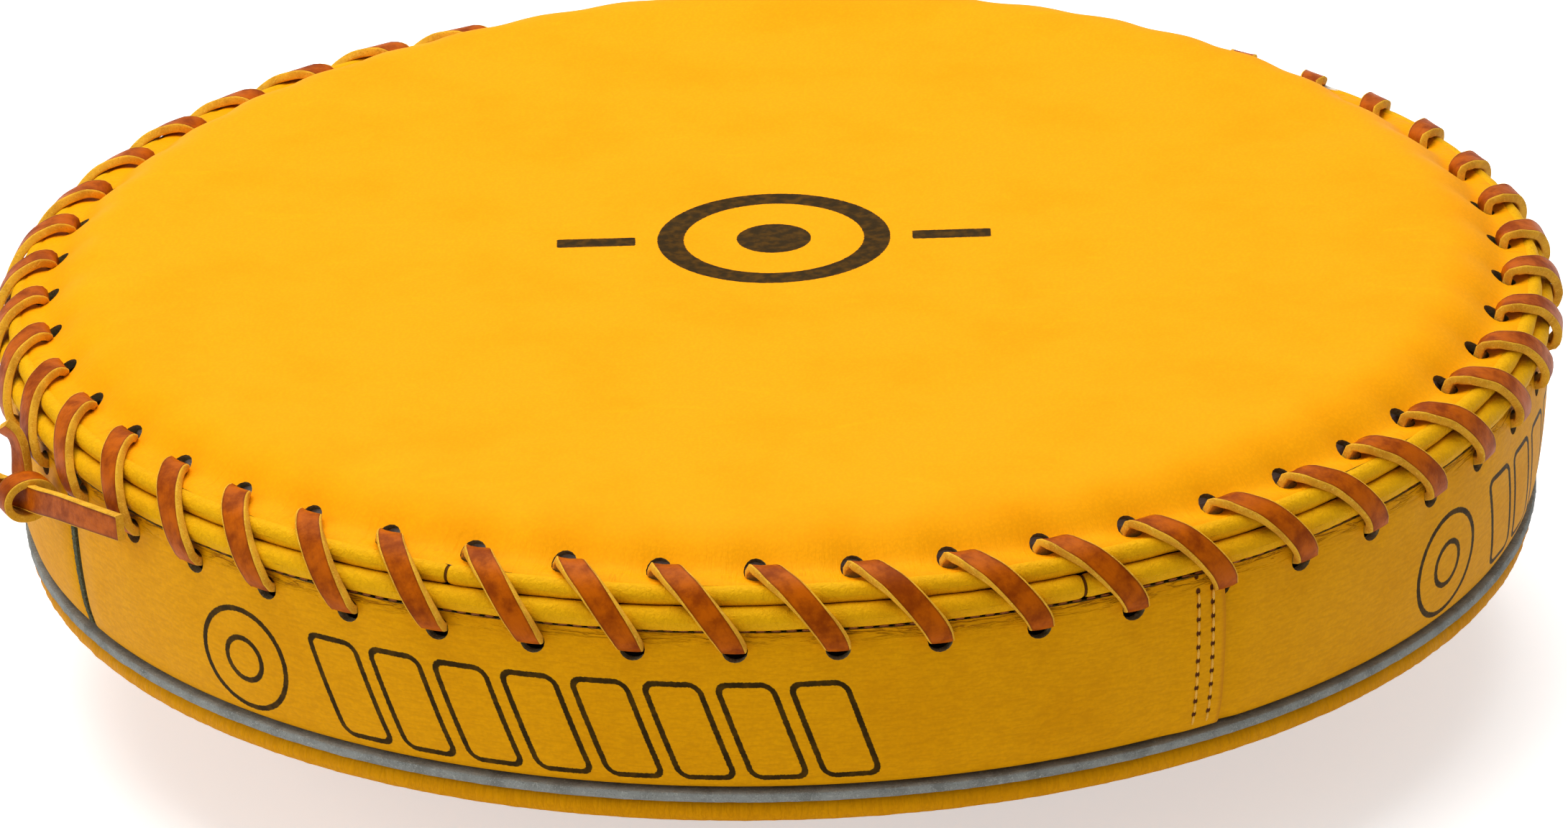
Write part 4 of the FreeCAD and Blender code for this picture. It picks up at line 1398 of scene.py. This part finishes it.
@dataclass
class BackPanel:
    """The flat back, folded up at its edge and gathered there."""

    layout: Layout = LAYOUT
    columns: int = 980
    fold_centre: float = 179.5
    fold_radius: float = 3.0
    thickness: float = 2.2
    rings: tuple[float, ...] = (0, 30, 60, 90, 115, 135, 150, 160, 167, 172, 176)
    fold_steps: int = 9

    def _point(self, u: float, v: float) -> Vector:
        """Point of the outer surface, from the middle out, round the fold and in under the welt."""
        angle = u * TURN
        count = len(self.rings) + self.fold_steps + 1 + 2
        index = round(v * (count - 1))
        if index < len(self.rings):
            return polar(self.rings[index], angle, 0.0)
        index -= len(self.rings)
        if index <= self.fold_steps:
            turn = math.pi * index / self.fold_steps
            swell = math.sin(turn)
            gather = 0.26 * waver(15.0, angle * 88.0, turn * 0.8) + 0.20 * waver(16.0, angle * 33.0, turn * 0.5)
            reach = self.fold_radius + gather * swell
            return polar(self.fold_centre + reach * math.sin(turn), angle, self.fold_radius - reach * math.cos(turn))
        inset = (2.5, 5.0)[index - self.fold_steps - 1]
        return polar(self.fold_centre - inset, angle, 2 * self.fold_radius)

    def build(self, finishes: Finishes) -> bpy.types.Object:
        """Builds the back.

        Args:
            finishes: The pad's finishes.

        Returns:
            The piece.
        """
        rows = len(self.rings) + self.fold_steps + 2

        def uv(u: float, v: float) -> Vector:
            point = self._point(u, v)
            extra = point.z if point.z > 0.1 else 0.0
            return Vector((u * TURN * self.fold_centre, math.hypot(point.x, point.y) + extra, 0)) * MM

        def flow(u: float, v: float) -> Vector:
            point = self._point(u, v)
            return polar(self.fold_centre, u * TURN, 0.25 * (point.z + math.hypot(point.x, point.y))) * MM

        sheet = lay_sheet(self.columns, rows, self._point, uv=uv, flow=flow)
        piece = make_piece("back_leather", sheet.bm, [finishes.fold, finishes.core],
                           ["back_panel"], inside=Vector((0, 0, 30)))
        thicken(piece, self.thickness)
        return piece


# ------------------------------------------------------------------------------------------------
# Lace and knot
# ------------------------------------------------------------------------------------------------
@dataclass
class Lace:
    """The flat lace, whipped over the two rolls through every face hole and side hole."""

    layout: Layout = LAYOUT
    stations_per_turn: int = 40
    across: int = 4
    squeeze: float = 0.78
    loop: tuple[tuple[float, float], ...] = (
        (176.9, 56.8), (176.7, 60.3), (177.4, 62.4), (180.0, 63.1), (183.1, 62.2), (185.6, 60.6), (187.6, 57.9),
        (188.9, 54.6), (189.3, 51.2), (188.3, 47.6), (184.9, 46.3), (181.6, 46.6), (178.4, 48.2), (176.9, 52.6))

    def _advance(self, share: float) -> float:
        """How far round the pad a turn has moved, in pitches, at a share of the turn."""
        across = min(max((share - 0.10) / 0.54, 0.0), 1.0)
        back = min(max((share - 0.80) / 0.18, 0.0), 1.0)
        lead = self.layout.side_lead
        return lead * (0.35 * rise(across, 0.0, 1.0) + 0.65 * across) + (1.0 - lead) * back

    def _show(self, share: float) -> float:
        """1 in the middle of the stretch that shows, 0 in the holes."""
        return math.sin(math.pi * min(max((share - 0.07) / 0.62, 0.0), 1.0))

    def _centre(self, position: float) -> Vector:
        """The lace's middle at a position counted in turns."""
        turn = math.floor(position)
        share = position - turn
        r, z = catmull(self.loop, share * len(self.loop), True)
        show = self._show(share)
        side, rise_error = self.layout.wander(self.layout.first_hole + position * self.layout.step)
        slack = 0.05 + 0.22 * waver(21.0, turn * 0.83)
        out = (r - 183.0) / math.hypot(r - 183.0, z - 56.0)
        up = (z - 56.0) / math.hypot(r - 183.0, z - 56.0)
        r += show * (side + slack * out)
        z += show * (rise_error + slack * up)
        drift = 0.05 * waver(22.0, turn * 0.61) * show
        angle = self.layout.first_hole + (turn + self._advance(share) + drift) * self.layout.step
        return polar(r, angle, z - 1.05 * self.layout.far_dip * show * self.layout.far_side(angle))

    def _outward(self, position: float) -> Vector:
        """The direction that the grain side faces, with a little twist of its own in each turn."""
        turn = math.floor(position)
        share = position - turn
        (r0, z0), (r1, z1) = (catmull(self.loop, (share + d) * len(self.loop), True) for d in (-0.008, 0.008))
        angle = self.layout.first_hole + (turn + self._advance(share)) * self.layout.step
        normal = polar(z0 - z1, angle, 0.0) + Z_AXIS * (r1 - r0)
        ahead = (self._centre(position + 0.004) - self._centre(position - 0.004)).normalized()
        twist = math.radians(7.0) * waver(23.0, turn * 0.47) * self._show(share)
        return Matrix.Rotation(twist, 3, ahead) @ normal.normalized()

    def _section(self, position: float) -> list[tuple[float, float]]:
        """The lace's outline, narrower where it passes through a hole."""
        share = position - math.floor(position)
        near = [bump(share - 0.085, 0.06), bump(share - 1.085, 0.06), bump(share - 0.715, 0.06)]
        width = self.layout.lace_width * (1.0 - (1.0 - self.squeeze) * min(sum(near), 1.0))
        width *= 1.0 + 0.03 * waver(24.0, position * 1.9)
        thickness = self.layout.lace_thickness * (1.0 + 0.06 * waver(25.0, position * 2.3))
        return rounded_section(width, thickness, 0.42, self.across, crown=0.10)

    def build(self, finishes: Finishes) -> bpy.types.Object:
        """Builds the whole lace.

        Args:
            finishes: The pad's finishes.

        Returns:
            The lace.
        """
        count = self.layout.lace_count
        first = self.layout.knot_hole - count + 0.06
        length = count * 46.0

        def position(share: float) -> float:
            return first + share * (count - 0.06)

        sheet = lay_strip(count * self.stations_per_turn, lambda s: self._centre(position(s)),
                          lambda s: self._outward(position(s)), lambda s: self._section(position(s)),
                          self.across, length)
        close_ends(sheet.bm, StripFace.CUT.value)
        return make_piece("edge_lace_strip", sheet.bm, [finishes.lace, finishes.lace_edge, finishes.lace_flesh],
                          ["edge_lace"])


@dataclass
class Knot:
    """The knot beside the closing seam: a loop of lace round two cut ends."""

    layout: Layout = LAYOUT
    across: int = 4
    loop_centre: tuple[float, float, float] = (195.0, math.radians(203.2), 42.6)
    loop_radius: float = 5.2

    def _loop(self, share: float) -> tuple[Vector, Vector]:
        """Middle and outward direction of the loop, which comes from behind the lace and goes back."""
        radius, angle, height = self.loop_centre
        out = polar(1.0, angle, 0.0)
        along = Vector((-math.sin(angle), math.cos(angle), 0.0))
        turn = math.radians(-215.0 + 395.0 * share)
        spread = self.loop_radius * (1.0 + 0.10 * math.cos(2 * turn))
        way = out * math.cos(turn) + Z_AXIS * math.sin(turn)
        shift = along * (2.6 * (share - 0.5))
        return polar(radius, angle, height) + way * spread + shift, way

    def _strip(self, name: str, points: Sequence[tuple[float, float, float]], tilt: Sequence[float],
               finishes: Finishes, width: float) -> bpy.types.Object:
        """A free end through (radius, degrees, height) points, with a tilt from outward at each."""
        route = [tuple(polar(r, math.radians(a), z)) for r, a, z in points]
        last = len(route) - 1

        def centre(share: float) -> Vector:
            return Vector(catmull(route, share * last, False))

        def outward(share: float) -> Vector:
            place = centre(share)
            out = Vector((place.x, place.y, 0.0)).normalized()
            ahead = (centre(min(share + 0.02, 1.0)) - centre(max(share - 0.02, 0.0))).normalized()
            turn = catmull([(t,) for t in tilt], share * last, False)[0]
            return Matrix.Rotation(math.radians(turn), 3, ahead) @ out

        length = sum((Vector(b) - Vector(a)).length for a, b in zip(route, route[1:]))
        sheet = lay_strip(36, centre, outward,
                          lambda s: rounded_section(width, self.layout.lace_thickness, 0.30, self.across, 0.05),
                          self.across, length)
        close_ends(sheet.bm, StripFace.CUT.value)
        return make_piece(name, sheet.bm, [finishes.lace, finishes.lace_edge, finishes.lace_flesh])

    def build(self, finishes: Finishes) -> list[bpy.types.Object]:
        """Builds the loop and the two ends.

        Args:
            finishes: The pad's finishes.

        Returns:
            The three pieces.
        """
        loop = lay_strip(64, lambda s: self._loop(s)[0], lambda s: self._loop(s)[1],
                         lambda s: rounded_section(self.layout.lace_width, 2.0, 0.35, self.across, 0.05),
                         self.across, 40.0)
        close_ends(loop.bm, StripFace.CUT.value)
        pieces = [make_piece("knot_loop", loop.bm, [finishes.lace, finishes.lace_edge, finishes.lace_flesh],
                             ["lace_knot"])]
        pieces.append(self._strip(
            "knot_long_end", [(200.4, 200.9, 43.6), (197.6, 201.5, 42.4), (195.4, 203.3, 43.0), (195.4, 205.8, 44.9),
                              (195.3, 209.2, 47.6), (194.9, 213.2, 49.7), (194.4, 217.0, 51.2)],
            (-38.0, -24.0, -8.0, -5.0, -6.0, -4.0, 0.0), finishes, self.layout.lace_width))
        pieces.append(self._strip(
            "knot_short_end", [(191.9, 201.2, 40.5), (192.2, 200.2, 43.6), (192.0, 199.9, 47.2),
                               (192.2, 199.8, 50.8), (193.2, 199.6, 53.8), (195.6, 199.3, 56.0)],
            (40.0, 24.0, 16.0, 12.0, 12.0, 12.0), finishes, 5.8))
        return pieces


# ------------------------------------------------------------------------------------------------
# Threads
# ------------------------------------------------------------------------------------------------
@dataclass
class Stitching:
    """Rows of lockstitches: each stitch is one small pulled-down bead of thread."""

    layout: Layout = LAYOUT
    length: float = 2.9
    width: float = 0.75
    height: float = 0.62
    face_row: float = 181.6
    band_row: tuple[float, float] = (185.5, 50.5)
    band_row_circle: float = 187.0
    ring_share: float = 0.85

    def __post_init__(self) -> None:
        """Makes the bead that every stitch copies."""
        bm = bmesh.new()
        bmesh.ops.create_uvsphere(bm, u_segments=8, v_segments=6, radius=1.0,
                                  matrix=Matrix.Rotation(math.pi / 2, 4, "Y"))
        self.bead = bpy.data.meshes.new("stitch_bead")
        bm.to_mesh(self.bead)
        bm.free()

    def _stitch(self, bm: bmesh.types.BMesh, place: Vector, along: Vector, out: Vector, length: float) -> None:
        """Adds one stitch.

        Args:
            bm: The mesh that it joins.
            place: Its middle.
            along: The direction of its row.
            out: The direction away from the leather.
            length: Its length.
        """
        side = along.cross(out).normalized()
        turn = Matrix((along * length / 2, side * self.width / 2, out * self.height / 2)).transposed().to_4x4()
        bead = self.bead.copy()
        bead.transform(Matrix.Translation(place) @ turn)
        bm.from_mesh(bead)
        bpy.data.meshes.remove(bead)

    def _finish(self, name: str, bm: bmesh.types.BMesh, material: bpy.types.Material,
                node: str) -> bpy.types.Object:
        """Makes a row's mesh into a piece."""
        for face in bm.faces:
            face.smooth = True
        return make_piece(name, bm, [material], [node], weld=0.0005)

    def lap_rows(self, finishes: Finishes) -> bpy.types.Object:
        """Two upright rows beside each lap of the band."""
        layout, outline = self.layout, Outline(BandPanel.outline)
        bm = bmesh.new()
        for edge in layout.lap_edges:
            for inset in (3.6, 7.6):
                angle = edge - inset / layout.band_roll[0]
                for k in range(4, 14):
                    z = layout.stitch_pitch * (k - 0.5)
                    lean = (outline.radius(z + 1) - outline.radius(z - 1)) / 2
                    out = polar(1.0, angle, -lean).normalized()
                    along = polar(lean, angle, 1.0).normalized()
                    sway = 0.05 * waver(31.0, k * 1.7, inset)
                    place = polar(outline.radius(z) + 0.55 + 0.10, angle + sway / layout.band_roll[0], z)
                    self._stitch(bm, place, along, out, self.length)
        return self._finish("lap_stitches", bm, finishes.yellow_thread, "lap_seam_thread")

    def _ring(self, circle: float, place: Callable[[float], Vector], out: Callable[[float], Vector],
              ) -> bmesh.types.BMesh:
        """A row right round the pad.

        Args:
            circle: Radius on which the stitch pitch is counted.
            place: Gives a stitch's middle at an angle.
            out: Gives the direction away from the leather at an angle.

        Returns:
            The row's mesh.
        """
        count = round(TURN * circle / self.layout.stitch_pitch)
        bm = bmesh.new()
        for k in range(count):
            angle = TURN * k / count
            along = Vector((-math.sin(angle), math.cos(angle), 0.0))
            self._stitch(bm, place(angle), along, out(angle), self.length * self.ring_share)
        return bm

    def roll_row(self, finishes: Finishes, face: Face) -> bpy.types.Object:
        """The row that sews the face roll on, between the laces."""
        bm = self._ring(self.face_row, lambda angle: face.surface(self.face_row, angle) + polar(0.2, angle, -0.55),
                        lambda angle: polar(0.35, angle, 0.9).normalized())
        return self._finish("face_roll_stitches", bm, finishes.brown_thread, "face_roll_thread")

    def band_roll_row(self, finishes: Finishes) -> bpy.types.Object:
        """The row that sews the band roll on, just under it."""
        radius, height = self.band_row
        bm = self._ring(self.band_row_circle, lambda angle: polar(radius, angle, height),
                        lambda angle: polar(1.0, angle, 0.0))
        return self._finish("band_roll_stitches", bm, finishes.brown_thread, "band_roll_thread")

    def strap_rows(self, finishes: Finishes, straps: "Straps") -> bpy.types.Object:
        """A rectangle of stitches on each strap tab."""
        bm = bmesh.new()
        down = Vector((0.0, 0.0, -1.0))
        z = -straps.thickness - 0.05
        low, high = straps.foot + 3.0, straps.end - 3.0
        half = straps.width / 2 - 3.5
        for middle in (-straps.spread, straps.spread):
            for side in (-1, 1):
                across = int(2 * half / self.layout.stitch_pitch)
                for k in range(across):
                    x = middle - half + (k + 0.5) * 2 * half / across
                    for y in (low, high):
                        self._stitch(bm, Vector((x, side * y, z)), Vector((1, 0, 0)), down, self.length)
                along = int((high - low) / self.layout.stitch_pitch)
                for k in range(along):
                    y = side * (low + (k + 0.5) * (high - low) / along)
                    for x in (middle - half, middle + half):
                        self._stitch(bm, Vector((x, y, z)), Vector((0, 1, 0)), down, self.length)
        return self._finish("strap_stitches", bm, finishes.yellow_thread, "strap_thread")


# ------------------------------------------------------------------------------------------------
# Straps
# ------------------------------------------------------------------------------------------------
@dataclass
class Straps:
    """The two lined straps on the back, arched so that an arm and a hand pass under them."""

    width: float = 44.0
    thickness: float = 3.2
    lining: float = 2.4
    spread: float = 68.0
    gap: float = 33.0
    flat: float = 28.0
    foot: float = 62.0
    end: float = 90.0
    corner: float = 9.0
    across: int = 14

    def _side(self, y: float, depth: float) -> tuple[float, float]:
        """(y, z) of the strap at a distance along it, that far outside its inner face."""
        reach = abs(y)
        if reach <= self.flat:
            return y, -self.gap - depth
        if reach >= self.foot:
            return y, -depth
        turn = math.pi * (reach - self.flat) / (self.foot - self.flat)
        height = -self.gap * (1 + math.cos(turn)) / 2
        slope = self.gap * math.pi / (self.foot - self.flat) * math.sin(turn) / 2
        length = math.hypot(1.0, slope)
        way = math.copysign(1.0, y)
        return y + way * depth * slope / length, height - depth / length

    def _sweep(self, middle: float, depth: float, reach: float, width: float, thickness: float, crown: float,
               rounded: float) -> Sheet:
        """A layer of the strap whose middle line is that deep, out to a reach each way."""
        def centre(share: float) -> Vector:
            y, z = self._side((2 * share - 1) * reach, depth)
            return Vector((middle, y, z))

        def outward(share: float) -> Vector:
            y = (2 * share - 1) * reach
            (y0, z0), (y1, z1) = self._side(y - 0.3, depth), self._side(y + 0.3, depth)
            return Vector((0.0, z1 - z0, -(y1 - y0))).normalized()

        def section(share: float) -> list[tuple[float, float]]:
            off = reach * (1 - abs(2 * share - 1))
            cut = rounded - math.sqrt(max(0.0, rounded ** 2 - max(0.0, rounded - off) ** 2)) if rounded else 0.0
            worn = 0.25 * waver(41.0, share * 8.0, middle)
            return rounded_section(width - 2 * cut + worn, thickness, 0.75, self.across, crown)

        return lay_strip(130, centre, outward, section, self.across, 2 * reach)

    def build(self, finishes: Finishes) -> list[bpy.types.Object]:
        """Builds both straps and their linings.

        Args:
            finishes: The pad's finishes.

        Returns:
            The four pieces.
        """
        pieces = []
        for name, middle in (("forearm_strap", -self.spread), ("hand_strap", self.spread)):
            outer = self._sweep(middle, self.thickness / 2, self.end, self.width, self.thickness, 0.0, self.corner)
            close_ends(outer.bm, StripFace.CUT.value)
            pieces.append(make_piece(f"{name}_leather", outer.bm,
                                     [finishes.strap, finishes.strap_edge, finishes.strap], [name]))
            inner = self._sweep(middle, -self.lining / 2 - 0.3, self.foot - 3.5, self.width - 3.0, self.lining - 0.3,
                                0.0, 0.0)
            close_ends(inner.bm, StripFace.CUT.value)
            pieces.append(make_piece(f"{name}_pad", inner.bm,
                                     [finishes.lining, finishes.strap_edge, finishes.lining],
                                     [f"{name}_lining"]))
        return pieces


# ------------------------------------------------------------------------------------------------
# CAD nodes that keep their shape
# ------------------------------------------------------------------------------------------------
def dress_nodes(finishes: Finishes) -> None:
    """Gives the CAD nodes that stay their materials."""
    chosen = {
        "face_roll_cord": finishes.cord, "band_roll_cord": finishes.cord, "face_felt": finishes.felt,
        "firm_foam": finishes.firm_foam, "soft_foam": finishes.soft_foam, "back_board": finishes.board,
        "base_seam_thread": finishes.yellow_thread, "strap_rivets": finishes.brass, "rivet_burrs": finishes.brass,
    }
    for node, material in chosen.items():
        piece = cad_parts[node]
        for slot in piece.material_slots:
            slot.material = material
        log.info("%s dressed in %s", node, material.name)


# ------------------------------------------------------------------------------------------------
# Studio
# ------------------------------------------------------------------------------------------------
@dataclass
class Studio:
    """A pale floor, soft light and the camera."""

    lens: float = 354.2
    pitch: float = math.radians(23.09)
    roll: float = math.radians(-1.513)
    station: tuple[float, float, float] = (0.0019, -3.4440, 1.4942)
    shift: tuple[float, float] = (-0.0015, 0.0)
    floor_drop: float = 0.0005

    def build(self) -> None:
        """Builds the stage."""
        self._floor()
        self._lights()
        self._camera()

    def _floor(self) -> None:
        """A wide white sweep under the pad."""
        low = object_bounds()[0].z - self.floor_drop
        bm = bmesh.new()
        bmesh.ops.create_circle(bm, cap_ends=True, segments=96, radius=6.0, matrix=Matrix.Translation((0, 0, low)))
        mesh = bpy.data.meshes.new("floor")
        bm.to_mesh(mesh)
        bm.free()
        floor = bpy.data.objects.new("floor", mesh)
        bpy.context.scene.collection.objects.link(floor)
        material, graph, shader = new_material("floor_paper")
        tone = graph.noise(graph.add("TexCoord").outputs["Object"], 900.0)
        graph.feed(shader.inputs["Base Color"], graph.blend(graph.span(tone, 0.3, 0.7), (0.90, 0.90, 0.90),
                                                            (0.87, 0.87, 0.87)))
        shader.inputs["Roughness"].default_value = 0.9
        shader.inputs["Specular IOR Level"].default_value = 0.1
        shader.inputs["Emission Color"].default_value = (1.0, 1.0, 1.0, 1.0)
        lift = graph.math("MULTIPLY", graph.add("LightPath").outputs["Is Camera Ray"], 0.55)
        graph.feed(shader.inputs["Emission Strength"], lift)
        mesh.materials.append(material)
        floor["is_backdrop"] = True

    def _area(self, name: str, place: tuple[float, float, float], size: float, power: float) -> None:
        """A square softbox that looks at the pad."""
        light = bpy.data.lights.new(name, "AREA")
        light.shape = "SQUARE"
        light.size = size
        light.energy = power
        lamp = bpy.data.objects.new(name, light)
        lamp.location = place
        lamp.rotation_euler = (Vector((0, 0, 0.03)) - Vector(place)).to_track_quat("-Z", "Y").to_euler()
        bpy.context.scene.collection.objects.link(lamp)

    def _lights(self) -> None:
        """A large overhead softbox, a weaker one at the left front, and a pale sky."""
        self._area("overhead_softbox", (-0.25, 0.35, 2.2), 2.2, 62.0)
        self._area("left_softbox", (-2.4, -0.8, 1.1), 1.4, 14.0)
        world = bpy.data.worlds.new("studio")
        world.use_nodes = True
        world.node_tree.nodes["Background"].inputs["Color"].default_value = (1.0, 1.0, 1.0, 1.0)
        world.node_tree.nodes["Background"].inputs["Strength"].default_value = 0.34
        scene = bpy.context.scene
        scene.world = world
        scene.view_settings.view_transform = "Standard"

    def _camera(self) -> None:
        """A long lens, looking down at the front of the pad."""
        data = bpy.data.cameras.new("camera")
        data.lens = self.lens
        data.sensor_width = 36.0
        data.shift_x, data.shift_y = self.shift
        data.clip_end = 50.0
        camera = bpy.data.objects.new("camera", data)
        level = Vector((1.0, 0.0, 0.0))
        ahead = Vector((0.0, math.cos(self.pitch), -math.sin(self.pitch)))
        up = level.cross(ahead)
        cos, sin = math.cos(self.roll), math.sin(self.roll)
        right = level * cos + up * sin
        top = up * cos - level * sin
        camera.matrix_world = Matrix.Translation(self.station) @ Matrix((right, top, -ahead)).transposed().to_4x4()
        bpy.context.scene.collection.objects.link(camera)
        bpy.context.scene.camera = camera


def band_panels(layout: Layout) -> list[BandPanel]:
    """The four lengths of the band, in order from the closing seam."""
    edges = [layout.closing_seam, *layout.lap_edges, layout.closing_seam + TURN]
    names = ("band_front", "band_right", "band_rear", "band_left")
    marks = ((88.0, 262.0), (42.0, 212.0), (60.0, 230.0), (0.0, 0.0))
    panels = []
    for k, name in enumerate(names):
        panels.append(BandPanel(
            name, edges[k], edges[k + 1],
            BandEnd.WELT if k == 0 else BandEnd.UNDER, BandEnd.WELT if k == 3 else BandEnd.OVER, marks[k]))
    return panels


def main() -> None:
    """Builds the pad and its studio."""
    logging.basicConfig(level=logging.INFO, format="%(name)s: %(message)s")
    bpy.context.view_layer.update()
    finishes = Finishes()
    face = Face()
    face.build(finishes)
    Roll("face_roll_leather", "face_roll", LAYOUT.face_roll, 4.8, 0.30, math.radians(245.0)).build(finishes)
    Roll("band_roll_leather", "band_roll", LAYOUT.band_roll, 5.8, 0.52, math.radians(292.0)).build(finishes)
    for panel in band_panels(LAYOUT):
        panel.build(finishes)
    Welts().build(finishes)
    BackPanel().build(finishes)
    Lace().build(finishes)
    Knot().build(finishes)
    straps = Straps()
    straps.build(finishes)
    stitching = Stitching()
    stitching.lap_rows(finishes)
    stitching.roll_row(finishes, face)
    stitching.band_roll_row(finishes)
    stitching.strap_rows(finishes, straps)
    dress_nodes(finishes)
    Studio().build()


if __name__ == "__main__":
    main()
